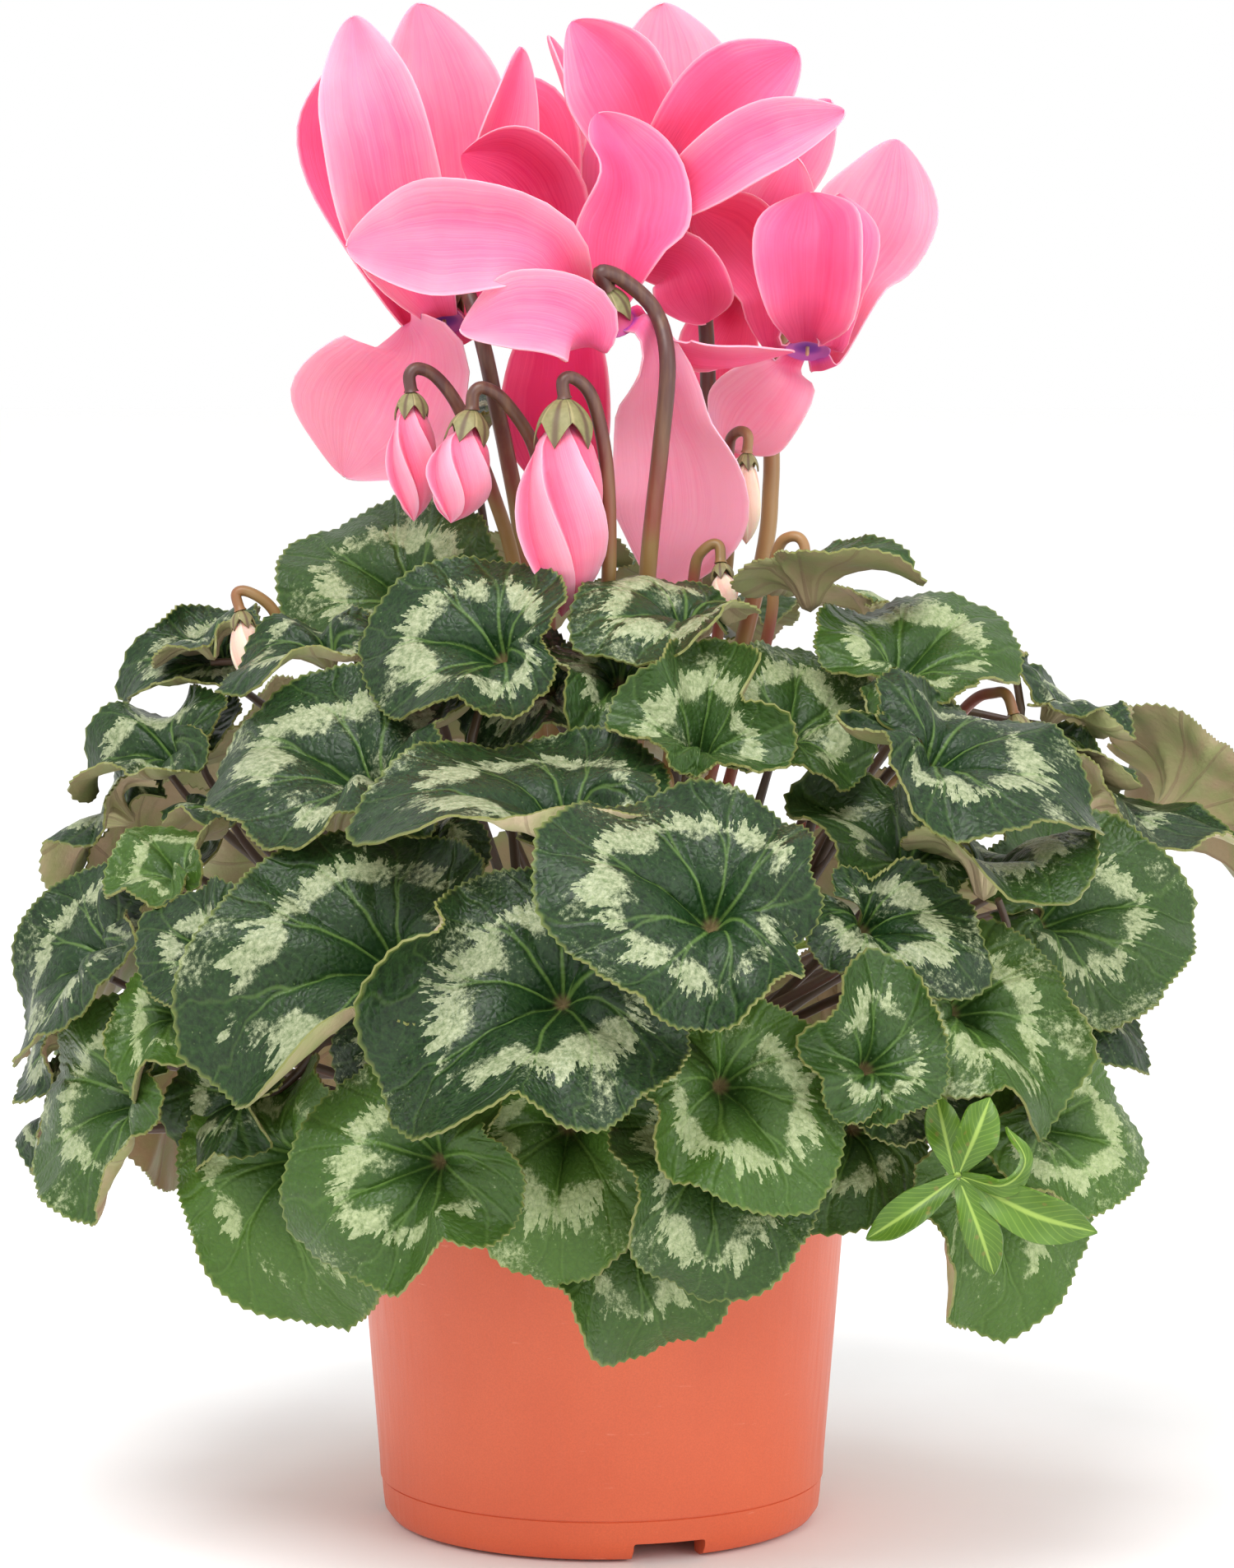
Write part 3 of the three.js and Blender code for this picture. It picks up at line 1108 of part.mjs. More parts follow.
function cyclamen() {
  const pot = potSolid();
  const soil = soilSolid();
  const corm = solidOf(turned(cormProfile(0), 16));
  const ground = [pot, soil, corm];
  const heads = flowerHeads();
  const roots = crownRoots();
  const flowerParts = (from) => from.flatMap((head) => [head.body, head.cap, head.stem ?? head.seenPart]);
  growStalks(heads.filter((head) => !head.low), heads, roots, ground);
  const leaves = leafTable();
  layLeaves(leaves, [...ground, ...flowerParts(heads)]);
  const blades = leaves.map((leaf) => leaf.blade);
  growStalks(heads.filter((head) => head.low), heads, roots, [...ground, ...blades]);
  const weed = weedSolid([...ground, ...blades, ...flowerParts(heads)]);
  const sprays = shoots(leaves);
  growPetioles(sprays, [...ground, weed, ...flowerParts(heads)]);
  return [
    pieceOf("pot", pot, "pot"),
    pieceOf("soil", soil, "soil"),
    pieceOf("corm", corm, "corm"),
    ...heads.flatMap(headPieces),
    pieceOf("weed", weed, "weed"),
    ...sprays.map((shoot, k) => pieceOf("spray_" + String(k + 1).padStart(2, "0"), shoot.solid, "leaf")),
  ];
}

const root = new THREE.Group();
root.add(...cyclamen());

export default root;
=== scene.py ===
# %% [markdown]
# # A potted cyclamen
#
# The plant is a florist's cyclamen in a terracotta-coloured plastic pot: marbled heart-shaped leaves with
# a finely toothed pale margin, pink flowers whose petals sweep back, and buds on bent stalks.
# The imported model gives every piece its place. Here each leafy spray, flower, bud and stalk is laid again
# in finer form over its plain solid, and everything gets its material.

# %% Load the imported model
import itertools
import json
import math

import bmesh
import bpy
import numpy as np
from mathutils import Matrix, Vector
from mathutils.kdtree import KDTree

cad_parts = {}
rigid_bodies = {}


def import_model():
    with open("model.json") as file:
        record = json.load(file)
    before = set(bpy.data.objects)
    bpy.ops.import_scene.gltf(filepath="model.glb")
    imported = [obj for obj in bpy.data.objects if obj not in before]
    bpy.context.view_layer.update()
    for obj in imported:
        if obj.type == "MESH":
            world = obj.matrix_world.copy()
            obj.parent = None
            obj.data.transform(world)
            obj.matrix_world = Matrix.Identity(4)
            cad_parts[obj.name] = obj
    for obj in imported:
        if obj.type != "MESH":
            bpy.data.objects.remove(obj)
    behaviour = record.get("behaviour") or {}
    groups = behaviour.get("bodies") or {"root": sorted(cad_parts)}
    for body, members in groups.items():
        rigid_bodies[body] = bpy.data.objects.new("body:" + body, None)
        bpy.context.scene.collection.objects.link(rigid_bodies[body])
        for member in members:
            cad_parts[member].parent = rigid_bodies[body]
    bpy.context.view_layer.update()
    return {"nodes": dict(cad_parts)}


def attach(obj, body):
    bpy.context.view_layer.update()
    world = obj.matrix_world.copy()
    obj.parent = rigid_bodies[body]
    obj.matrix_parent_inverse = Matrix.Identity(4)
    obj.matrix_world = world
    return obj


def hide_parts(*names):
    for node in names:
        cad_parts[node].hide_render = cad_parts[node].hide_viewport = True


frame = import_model()
nodes = frame["nodes"]
bpy.ops.object.select_all(action="DESELECT")

# %% [markdown]
# ## The view that places things
#
# Leaves and flowers are placed by where a front view shows them. The camera stands 1.5 m in front of the
# pot, a little above the plant, and looks slightly down. A long lens keeps the pot's sides nearly upright.
# A point is then given by the pixel it is seen at and by its depth in front of the pot's axis, in mm.

# %% Camera and sight lines
PICTURE = (1500, 1906)
PIXELS_PER_MM = 4.75  # at the pot's axis
DISTANCE = 1500
SENSOR = 36  # mm high
PITCH = math.radians(6.42)
EYE = np.array([4.0, -DISTANCE, 360.0])
X, Z = np.eye(3)[0], np.eye(3)[2]
LOOK = np.array([0, math.cos(PITCH), -math.sin(PITCH)])
VIEW_UP = np.array([0, math.sin(PITCH), math.cos(PITCH)])
FOCAL = PIXELS_PER_MM * DISTANCE

camera_data = bpy.data.cameras.new("camera")
camera_data.sensor_fit = "VERTICAL"
camera_data.sensor_height = SENSOR
camera_data.lens = SENSOR * FOCAL / PICTURE[1]
camera_data.clip_end = 20
camera = bpy.data.objects.new("camera", camera_data)
camera.location = EYE / 1000
camera.rotation_euler = (math.pi / 2 - PITCH, 0, 0)
bpy.context.collection.objects.link(camera)
bpy.context.scene.camera = camera


def sight_line(px, py):
    return LOOK + X * (px - PICTURE[0] / 2) / FOCAL + VIEW_UP * (PICTURE[1] / 2 - py) / FOCAL


def seen_at(px, py, depth):
    """The point in mm that is seen at a pixel, at a depth in front of the pot's axis."""
    line = sight_line(px, py)
    return EYE + line * (DISTANCE - depth) / line[1]


print("lens", round(camera_data.lens, 1), "mm")

# %% [markdown]
# ## Small helpers
#
# A plant repeats a form without repeating it exactly, so each leaf and petal takes its own values from a
# rule that always gives the same ones. A smooth row through a few given rows of numbers serves for stalks
# and petals alike.

# %% Values between, unit vectors and smooth rows
def between(index, question, low, high):
    """The same value between low and high for the same piece and question."""
    s = math.sin(index * 12.9898 + question * 78.233) * 43758.5453
    return low + (high - low) * (s - math.floor(s))


def unit(v):
    return v / np.linalg.norm(v)


def turned(v, axis, degrees):
    """A vector turned about a unit axis."""
    a = math.radians(degrees)
    return v * math.cos(a) + np.cross(axis, v) * math.sin(a) + axis * np.dot(axis, v) * (1 - math.cos(a))


def along(rows, t):
    """A smooth row through all the given rows, at each t from 0 to 1."""
    rows = np.asarray(rows, float)
    spans = len(rows) - 1
    padded = np.vstack([2 * rows[0] - rows[1], rows, 2 * rows[-1] - rows[-2]])
    t = np.atleast_1d(t) * spans
    k = np.minimum(spans - 1, np.floor(t)).astype(int)
    f = (t - k)[:, None]
    a, b, d, e = padded[k], padded[k + 1], padded[k + 2], padded[k + 3]
    return b + 0.5 * f * (d - a + f * (2 * a - 5 * b + 4 * d - e + f * (3 * (b - d) + e - a)))


def smooth_step(x, low, high):
    x = np.clip((x - low) / (high - low), 0, 1)
    return x * x * (3 - 2 * x)


# %% [markdown]
# ## One way to lay a thin sheet
#
# A blade, a petal, a sepal and even a stalk are all a grid of rows and columns that is bent, and for a
# stalk closed into a tube. So a grid primitive is added, its corners are laid where a rule says, corners
# that fall together are merged, and a Solidify modifier gives a sheet its thickness, with another
# material for its underside and for its cut edge.

# %% Lay a grid and give it thickness
MERGE = 1e-6  # corners nearer than this many metres fall together


def pick(*pieces):
    """Selects these pieces alone, the first of them active."""
    bpy.ops.object.select_all(action="DESELECT")
    for piece in pieces:
        piece.select_set(True)
    bpy.context.view_layer.objects.active = pieces[0]


def edit_all(*steps):
    """Runs edit mode operators on the whole active mesh."""
    bpy.ops.object.mode_set(mode="EDIT")
    bpy.ops.mesh.select_all(action="SELECT")
    for operator, settings in steps:
        operator(**settings)
    bpy.ops.object.mode_set(mode="OBJECT")


def weld():
    """Merges corners that fall together and turns all faces outwards."""
    merge = (bpy.ops.mesh.remove_doubles, {"threshold": MERGE})
    edit_all(merge, (bpy.ops.mesh.normals_make_consistent, {"inside": False}))


def lay_grid(name, shares, columns, place_at, marks=None):
    """Adds a grid and lays it: rows at the given shares, columns from -1 to 1, and places in mm.

    marks gives each corner's values for its material, as named vectors."""
    bpy.ops.mesh.primitive_grid_add(x_subdivisions=len(shares) - 1, y_subdivisions=columns, size=2)
    piece = bpy.context.object
    piece.name = name
    corners = np.empty(3 * len(piece.data.vertices))
    piece.data.vertices.foreach_get("co", corners)
    corners = corners.reshape(-1, 3)
    u = np.asarray(shares)[np.rint((corners[:, 0] + 1) / 2 * (len(shares) - 1)).astype(int)]
    v = corners[:, 1]
    piece.data.vertices.foreach_set("co", (place_at(u, v) / 1000).ravel())
    for mark, value in (marks(u, v) if marks else {}).items():
        layer = piece.data.attributes.new(mark, "FLOAT_VECTOR", "POINT")
        layer.data.foreach_set("vector", np.ascontiguousarray(value, dtype=np.float32).ravel())
    while piece.data.uv_layers:
        piece.data.uv_layers.remove(piece.data.uv_layers[0])
    return piece


def give_thickness(piece, thickness, looks):
    """Thickens a sheet in mm, half to each side. looks: its upper, under and edge materials."""
    for look in looks:
        piece.data.materials.append(look)
    bpy.ops.object.modifier_add(type="SOLIDIFY")
    solidify = piece.modifiers[-1]
    solidify.thickness = thickness / 1000
    solidify.offset = 0
    solidify.material_offset = 1
    solidify.material_offset_rim = 2
    bpy.ops.object.modifier_apply(modifier=solidify.name)


def join(name, pieces):
    pick(*pieces)
    if len(pieces) > 1:
        bpy.ops.object.join()
    pieces[0].name = name
    return pieces[0]


def finish_piece(piece, node, smooth=50):
    """Smooths a finished piece, which stands for one CAD node and rests on the one body."""
    pick(piece)
    bpy.ops.object.shade_smooth_by_angle(angle=math.radians(smooth))
    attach(piece, "root")
    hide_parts(node)


# %% [markdown]
# ## Building a material from nodes
#
# Each finish is named for what it is and built from a few noise and vein patterns. The patterns of a leaf
# or a petal follow its own surface, so they read where on the blade a point lies, in mm, from an attribute
# that is laid with the grid. The other patterns read Object coordinates, in metres. One function adds a
# node; the short ones after it use it for arithmetic, ramps, noise and layers of colour.

# %% Node helpers and colours
def linear(hex_colour):
    """An sRGB colour such as "#c4553a" as the linear values that a shader works in."""
    values = [int(hex_colour[i : i + 2], 16) / 255 for i in (1, 3, 5)]
    return [c / 12.92 if c <= 0.04045 else ((c + 0.055) / 1.055) ** 2.4 for c in values] + [1.0]


def add(tree, kind, inputs, out=0, **settings):
    """Adds a shader node with its settings and its inputs, values or links, and gives one output."""
    made = tree.nodes.new("ShaderNode" + kind)
    for name, value in settings.items():
        setattr(made, name, value)
    for name, value in inputs.items():
        if isinstance(value, bpy.types.NodeSocket):
            tree.links.new(value, made.inputs[name])
        else:
            made.inputs[name].default_value = linear(value) if isinstance(value, str) else value
    return made.outputs[out]


def new_material(name, **plain):
    """A material with its shader's own values set, and the shader to link patterns to."""
    material = bpy.data.materials.new(name)
    material.use_nodes = True
    shader = material.node_tree.nodes["Principled BSDF"]
    for socket, value in plain.items():
        shader.inputs[socket.replace("_", " ")].default_value = value
    return material, material.node_tree, shader


def attribute(tree, name):
    return add(tree, "Attribute", {}, "Vector", attribute_name=name)


def object_place(tree):
    return add(tree, "TexCoord", {}, "Object")


def apart(tree, vector):
    """A vector's three parts."""
    x = add(tree, "SeparateXYZ", {"Vector": vector})
    return x, x.node.outputs["Y"], x.node.outputs["Z"]


def calc(tree, operation, *values):
    """Arithmetic on links and numbers. MULTIPLY_ADD is the first times the second plus the third."""
    return add(tree, "Math", dict(enumerate(values)), operation=operation)


def ramp(tree, value, low, high, start=0.0, end=1.0, ease="LINEAR"):
    """Goes from start to end while the value goes from low to high, and stays there beyond."""
    return add(tree, "MapRange", {0: value, 1: low, 2: high, 3: start, 4: end}, interpolation_type=ease)


def smooth_ramp(tree, *values):
    return ramp(tree, *values, ease="SMOOTHSTEP")


def blend(tree, factor, first, second):
    """Mixes two colours: the first where the factor is 0, the second where it's 1."""
    inputs = {0: factor, 6: first, 7: second}
    return add(tree, "Mix", inputs, 2, blend_type="MIX", data_type="RGBA")


def layered(tree, base, *layers):
    """Lays colours over a base one after another, each by its own factor."""
    for factor, over in layers:
        base = blend(tree, factor, base, over)
    return base


def noise(tree, vector, scale, detail, roughness=0.5):
    inputs = {"Vector": vector, "Scale": scale, "Detail": detail, "Roughness": roughness}
    return add(tree, "TexNoise", inputs)


def streaks(tree, vector, scales, detail, roughness=0.5):
    """Noise with a scale of its own along each axis."""
    stretched = add(tree, "Mapping", {"Vector": vector, "Scale": scales})
    return noise(tree, stretched, 1.0, detail, roughness)


def colour(tree, shader, made):
    tree.links.new(made, shader.inputs["Base Color"])


def relief(tree, shader, height, strength, distance):
    """Raises the surface by a pattern, at most by the distance in metres."""
    bump = add(tree, "Bump", {"Height": height, "Strength": strength, "Distance": distance})
    tree.links.new(bump, shader.inputs["Normal"])


# %% [markdown]
# ## The marbled leaf
#
# The upper face is dark green in its middle and along its margin, with a broken silvery band between; its
# middle is darkened further towards the heart as painted shade in the funnel there. The band bulges between
# the main veins, its inner edge is soft, and its outer edge breaks into flecks. Main veins fan out from the
# heart and are pale, and fine side veins leave them outwards. The band, the flecks and the vein lines are
# worked out from the place on the blade in mm; a second attribute makes each leaf a little different, and
# lightens the green of some leaves, partly a tone of their own and partly painted glow of light through
# them.

# %% Cyclamen leaf, upper face: waxy cuticle over a marbled blade
VEIN_STEP = 0.78  # radians from one main vein to the next
SIDE_STEP = 4.5  # mm from one side vein to the next

leaf_top, tree, shader = new_material("cyclamen_leaf_upper_face", Roughness=0.4, Specular_IOR_Level=0.3)
at_x, at_y, share = apart(tree, attribute(tree, "blade_place"))
_, shift, bright = apart(tree, attribute(tree, "leaf_kind"))
slice_z = calc(tree, "MULTIPLY", shift, 900.0)
spot = add(tree, "CombineXYZ", {"X": at_x, "Y": at_y, "Z": slice_z})
reach = calc(tree, "MULTIPLY", at_x, at_x)
reach = calc(tree, "MULTIPLY_ADD", at_y, at_y, reach)
reach = calc(tree, "SQRT", reach)

# The main veins leave the heart by even angles, bend towards the tip and fork on their way out.
angle = calc(tree, "ARCTAN2", at_y, at_x)
bent = calc(tree, "MULTIPLY_ADD", share, -0.2, 1.0)
cell = calc(tree, "DIVIDE", angle, bent)
cell = calc(tree, "MULTIPLY_ADD", noise(tree, spot, 0.09, 1.0), 0.3, cell)
cell = calc(tree, "MULTIPLY_ADD", cell, 1 / VEIN_STEP, -0.15 / VEIN_STEP)
off = calc(tree, "PINGPONG", cell, 0.5)
fork = ramp(tree, share, 0.42, 1.0, 0.0, 0.24)
branch = calc(tree, "ABSOLUTE", calc(tree, "SUBTRACT", off, fork))
off_mm = calc(tree, "MULTIPLY", calc(tree, "MULTIPLY", off, reach), VEIN_STEP)
branch_mm = calc(tree, "MULTIPLY", branch, reach)
fade = ramp(tree, share, 0.08, 0.72, 0.7, 0.12)
vein = calc(tree, "MULTIPLY", smooth_ramp(tree, branch_mm, 0.1, 0.95, 1.0, 0.0), fade)

# Side veins leave the main ones outwards by even steps, and waver. A finer net joins them.
side = calc(tree, "MULTIPLY_ADD", off_mm, -0.9, reach)
side = calc(tree, "MULTIPLY_ADD", noise(tree, spot, 0.35, 2.0), 3.0, side)
side_off = calc(tree, "PINGPONG", calc(tree, "MULTIPLY", side, 1 / SIDE_STEP), 0.5)
side_vein = ramp(tree, side_off, 0.03, 0.09, 1.0, 0.0)
net = add(tree, "TexVoronoi", {"Vector": spot, "Scale": 0.62}, feature="DISTANCE_TO_EDGE")
net_line = ramp(tree, net, 0.0, 0.1, 1.0, 0.0)

# The silvery band. The dark middle runs out into it along the veins, and its outer edge is ragged: the
# rays of a noise that is stretched outwards, and flecks where the band is weak.
ray_x = calc(tree, "MULTIPLY", angle, 7.0)
ray_y = calc(tree, "MULTIPLY", share, 3.0)
ray = add(tree, "CombineXYZ", {"X": ray_x, "Y": ray_y, "Z": slice_z})
ray = noise(tree, ray, 1.6, 4.0, 0.68)
fleck = noise(tree, spot, 0.7, 5.0, 0.75)
basal = smooth_ramp(tree, calc(tree, "ABSOLUTE", angle), 1.5, 2.9)
lobe = smooth_ramp(tree, off, 0.0, 0.4)
inner = calc(tree, "MULTIPLY_ADD", noise(tree, spot, 0.07, 2.0), 0.36, shift)
inner = calc(tree, "MULTIPLY_ADD", lobe, -0.09, inner)
inner = calc(tree, "ADD", inner, 0.34)
outer = calc(tree, "MULTIPLY_ADD", ray, 0.62, shift)
outer = calc(tree, "MULTIPLY_ADD", lobe, 0.05, outer)
outer = calc(tree, "ADD", outer, 0.34)
band = smooth_ramp(tree, calc(tree, "SUBTRACT", share, inner), -0.05, 0.15)
band_end = smooth_ramp(tree, calc(tree, "SUBTRACT", outer, share), -0.015, 0.02)
band = calc(tree, "MULTIPLY", band, band_end)
level = calc(tree, "MULTIPLY_ADD", band, 0.62, fleck)
level = calc(tree, "MULTIPLY_ADD", noise(tree, spot, 0.055, 1.5), -1.7, level)
level = calc(tree, "MULTIPLY_ADD", basal, -0.3, level)
silver = smooth_ramp(tree, level, -0.12, 0.2, 0.0, 0.88)

# Greens: the dark blade, darker towards the heart as painted shade, the flecks, pale dots, the net and the
# veins, the heart and the margin.
speck = ramp(tree, fleck, 0.36, 0.64)
# bright lightens the green of some leaves: partly a tone of their own, partly painted glow of light through
# the blade
dark = layered(tree, blend(tree, speck, "#0f200d", "#26411b"), (bright, "#628a2a"))
# painted shade: the dark green is darkened further towards the heart, where the blade's funnel lies in
# shade
dark = layered(tree, dark, (ramp(tree, share, 0.1, 0.5, 0.6, 0.0), "#173616"))
pale = layered(tree, blend(tree, speck, "#74835a", "#b6bb98"), (bright, "#a9bd78"))
dots = add(tree, "TexVoronoi", {"Vector": spot, "Scale": 0.42}, feature="F1")
green = layered(
    tree,
    blend(tree, silver, dark, pale),
    (ramp(tree, dots, 0.05, 0.12, 0.3, 0.0), "#8fa66c"),
    (calc(tree, "MULTIPLY", net_line, 0.18), "#1f3d26"),
    (calc(tree, "MULTIPLY", side_vein, 0.03), "#7f9f5c"),
    (vein, "#6f9045"),
    (smooth_ramp(tree, reach, 0.6, 2.6, 0.7, 0.0), "#7d5a4a"),
    (ramp(tree, share, 0.975, 1.0, 0.0, 0.6), "#7f8a45"),
)
colour(tree, shader, green)

# The blade is drawn in along its veins and swells a little between them.
hollow = smooth_ramp(tree, branch_mm, 0.0, 2.0)
hollow_side = ramp(tree, side_off, 0.0, 0.3, 0.0, 0.22)
height = calc(tree, "ADD", hollow, hollow_side)
height = calc(tree, "MULTIPLY_ADD", net, 0.95, height)
relief(tree, shader, height, 0.55, 0.0006)

# %% [markdown]
# ## The leaf's other faces
#
# Turned over, the blade is beige, olive or dusty brown with raised purplish veins; the pale ones are partly
# painted light shining through the blade. Its cut edge and the teeth are a yellowish olive. The leaf's own
# stalk is a fleshy rod, olive brown with a reddish bloom, its colour darkened as painted shade where the
# stalks lie among the leaves.

# %% Underside, margin and leaf stalk
UNDER_STEP = 0.58  # radians between the veins that stand out below

leaf_under, tree, shader = new_material("cyclamen_leaf_underside", Roughness=0.55, IOR=1.45)
place = attribute(tree, "blade_place")
at_x, at_y, _ = apart(tree, place)
reach = add(tree, "VectorMath", {0: place}, "Value", operation="LENGTH")
angle = calc(tree, "ARCTAN2", at_y, at_x)
off = calc(tree, "PINGPONG", calc(tree, "MULTIPLY", angle, 1 / UNDER_STEP), 0.5)
vein = smooth_ramp(tree, calc(tree, "MULTIPLY", off, reach), 0.5, 1.2, 0.8, 0.0)
patch = ramp(tree, noise(tree, place, 0.09, 3.0), 0.38, 0.62)
grain = noise(tree, place, 0.8, 4.0)
back_tone, _, _ = apart(tree, attribute(tree, "leaf_kind"))
dusky = blend(tree, patch, "#848a58", "#907c5c")
# The pale underside is partly painted light, for undersides that light shines through.
pale_and_lit_under = blend(tree, patch, "#c0c48a", "#d9c5a4")
under = layered(
    tree,
    blend(tree, ramp(tree, back_tone, 0.1, 0.8), dusky, pale_and_lit_under),
    (calc(tree, "MULTIPLY", grain, 0.35), "#8f8a60"),
    (calc(tree, "MULTIPLY", vein, 0.45), "#7d6152"),
)
colour(tree, shader, under)
relief(tree, shader, calc(tree, "ADD", vein, grain), 0.5, 0.0004)

leaf_edge, tree, shader = new_material("cyclamen_leaf_cut_margin", Roughness=0.5)
mottle = noise(tree, object_place(tree), 11000.0, 2.0)
colour(tree, shader, blend(tree, mottle, "#5a672c", "#8f8c50"))

# The stalk colours are kept dark as painted shade, for stalks that lie in the shade among the leaves.
leaf_stalk, tree, shader = new_material("cyclamen_leaf_stalk_skin", Roughness=0.45)
streak = streaks(tree, object_place(tree), (260.0, 260.0, 30.0), 3.0)
colour(tree, shader, blend(tree, streak, "#453f28", "#4a2b25"))
print("leaf materials:", [m.name for m in bpy.data.materials if "leaf" in m.name])

# %% [markdown]
# ## Where each leaf lies
#
# A row gives the pixels where a leaf's heart, the end of its stalk, and its tip are seen, its size from
# heart to tip in mm, its layer outwards, and how far it leans to the sky in degrees. The words after that
# say how much it's turned to the viewer, how deep a cup it is, and how its margin curls: at an angle from
# the tip, over a width, by a bend. Some leaves are a lighter green, partly a tone of their own and partly
# painted glow where light shines through the blade, and some are pale behind, partly as painted light
# through the blade. The leaves' hearts lie on a dome, the far ones on its far side. Behind, where the
# photo doesn't show them, rows of leaves go round the dome a little out of line.

# %% Leaf rows
FRONT_LEAVES = [
    # left edge, from the bottom up
    (75, 1350, 8, 1425, 24, 0, 10),
    (78, 1262, 6, 1340, 28, 0, 0),
    (212, 1344, 45, 1472, 42, 2, 0, dict(tone_and_painted_glow=0.2)),
    (172, 1188, 32, 1300, 42, 2, 5),
    (152, 990, 58, 1083, 30, 0, 0, dict(far=True, pale_and_lit_back=True)),
    (222, 1072, 135, 1005, 27, 3, 20, dict(tone_and_painted_glow=0.3)),
    (222, 935, 72, 972, 33, 2, 5, dict(front=0.7, curls=[[80, 40, 80]])),
    (250, 925, 195, 872, 24, 1, 25),
    (272, 806, 160, 842, 29, 1, 0, dict(front=0.7)),
    (292, 880, 255, 822, 22, 2, 15),
    # left front
    (359, 1408, 405, 1655, 47, 0, -5, dict(curls=[[-70, 40, 30]], tone_and_painted_glow=0.38)),
    (300, 1332, 218, 1402, 26, 0, 0),
    (216, 1232, 186, 1330, 25, 2, 0, dict(tone_and_painted_glow=0.3)),
    (478, 1172, 208, 1292, 57, 2, 5, dict(curls=[[62, 32, 110], [-60, 40, 25]])),
    (284, 1172, 166, 1128, 27, 4, 0, dict(curls=[[170, 60, 60]])),
    (270, 985, 282, 1042, 22, 0, 15),
    (455, 962, 217, 925, 50, 3, 10, dict(curls=[[-100, 50, 40]])),
    (531, 1411, 372, 1492, 41, 2, 0, dict(curls=[[70, 40, 35]], tone_and_painted_glow=0.25)),
    (528, 1262, 432, 1312, 27, 0, 0),
    (520, 1045, 508, 1106, 26, 0, 20),
    # middle
    (690, 1368, 668, 1574, 42, 1, 0, dict(curls=[[90, 50, 45], [-90, 50, 45]], tone_and_painted_glow=0.4)),
    (765, 1470, 795, 1677, 42, 0, 0, dict(tone_and_painted_glow=0.25)),
    (682, 1212, 505, 1322, 53, 3, 5, dict(curls=[[-55, 26, 120], [40, 40, 25]])),
    (688, 1006, 430, 1030, 52, 4, 22, dict(curls=[[95, 40, 125], [-90, 50, 30]], pale_and_lit_back=True)),
    (705, 1062, 762, 945, 25, 2, 10),
    (843, 956, 877, 800, 37, 3, 5, dict(cup=28, tone_and_painted_glow=0.15)),
    (862, 1136, 702, 1083, 47, 4, 5, dict(cup=8)),
    (877, 1318, 965, 1446, 38, 3, 0, dict(cup=14, tone_and_painted_glow=0.3)),
    (862, 1402, 858, 1590, 40, 1, 0, dict(tone_and_painted_glow=0.15)),
    # right front
    (1040, 1372, 990, 1480, 29, 0, 0),
    (1047, 1304, 1040, 1166, 29, 4, 0, dict(cup=20)),
    (1037, 1148, 1150, 1215, 32, 3, 5, dict(curls=[[120, 45, 80]], cup=22)),
    (1100, 1056, 966, 982, 34, 1, 15, dict(curls=[[-40, 50, 80]], pale_and_lit_back=True)),
    (955, 902, 975, 772, 34, 2, 0, dict(tone_and_painted_glow=0.15)),
    (1104, 987, 1258, 1066, 43, 4, 8, dict(curls=[[-150, 50, 45]])),
    (1080, 862, 1236, 772, 38, 3, 0, dict(front=0.5, curls=[[-120, 50, 50]], tone_and_painted_glow=0.2)),
    (1161, 1229, 1250, 1345, 39, 2, 0, dict(curls=[[60, 40, 50]], tone_and_painted_glow=0.25)),
    (1196, 1106, 1354, 1198, 38, 3, 55, dict(pale_and_lit_back=True)),
    (1262, 1128, 1458, 1120, 44, 1, 0, dict(front=0.6)),
    (1062, 1322, 1184, 1396, 29, 3, 12, dict(curls=[[-30, 60, 60]])),
    (1176, 1432, 1220, 1633, 43, 1, 0, dict(tone_and_painted_glow=0.4)),
    (1222, 1356, 1278, 1468, 29, 0, 0),
    (1236, 1372, 1374, 1437, 34, 1, 0, dict(tone_and_painted_glow=0.35)),
    (1282, 1212, 1402, 1306, 30, 0, 25, dict(pale_and_lit_back=True)),
    (1272, 946, 1328, 1012, 24, 2, 5),
    (1300, 990, 1496, 1116, 50, 0, 10, dict(far=True, pale_and_lit_back=True)),
    (1236, 936, 1350, 900, 31, 0, 10, dict(far=True, pale_and_lit_back=True)),
    # top
    (505, 745, 360, 665, 42, 3, -30, dict(front=1.2, curls=[[150, 50, -40]], tone_and_painted_glow=0.15)),
    (617, 815, 476, 802, 40, 4, -24, dict(curls=[[150, 50, 60]])),
    (668, 842, 622, 908, 30, 1, -15),
    (752, 842, 722, 905, 27, 1, -10),
    (400, 800, 330, 826, 30, 2, 5, dict(front=0.7, curls=[[90, 50, 70]])),
    (445, 745, 383, 712, 30, 0, 10, dict(far=True, tone_and_painted_glow=0.6, pale_and_lit_back=True)),
    (612, 690, 560, 622, 30, 0, 0, dict(far=True)),
    (830, 772, 716, 796, 33, 3, 8, dict(curls=[[90, 60, 60]])),
    (985, 742, 1092, 742, 34, 3, 30, dict(curls=[[-90, 60, 60]], tone_and_painted_glow=0.1)),
    (1064, 765, 1140, 708, 32, 0, 10, dict(far=True, tone_and_painted_glow=0.4, pale_and_lit_back=True)),
]

BACK_ROWS = [
    dict(rise=-8, start=15, end=165, count=5, size=54, layer=0),
    dict(rise=14, start=8, end=172, count=5, size=56, layer=1),
    dict(rise=36, start=20, end=160, count=4, size=48, layer=2),
    dict(rise=60, start=30, end=150, count=2, size=42, layer=3),
]
DOME_CENTRE = np.array([4.0, 0.0, 126.0])
DOME_HALF = np.array([142.0, 132.0, 124.0])


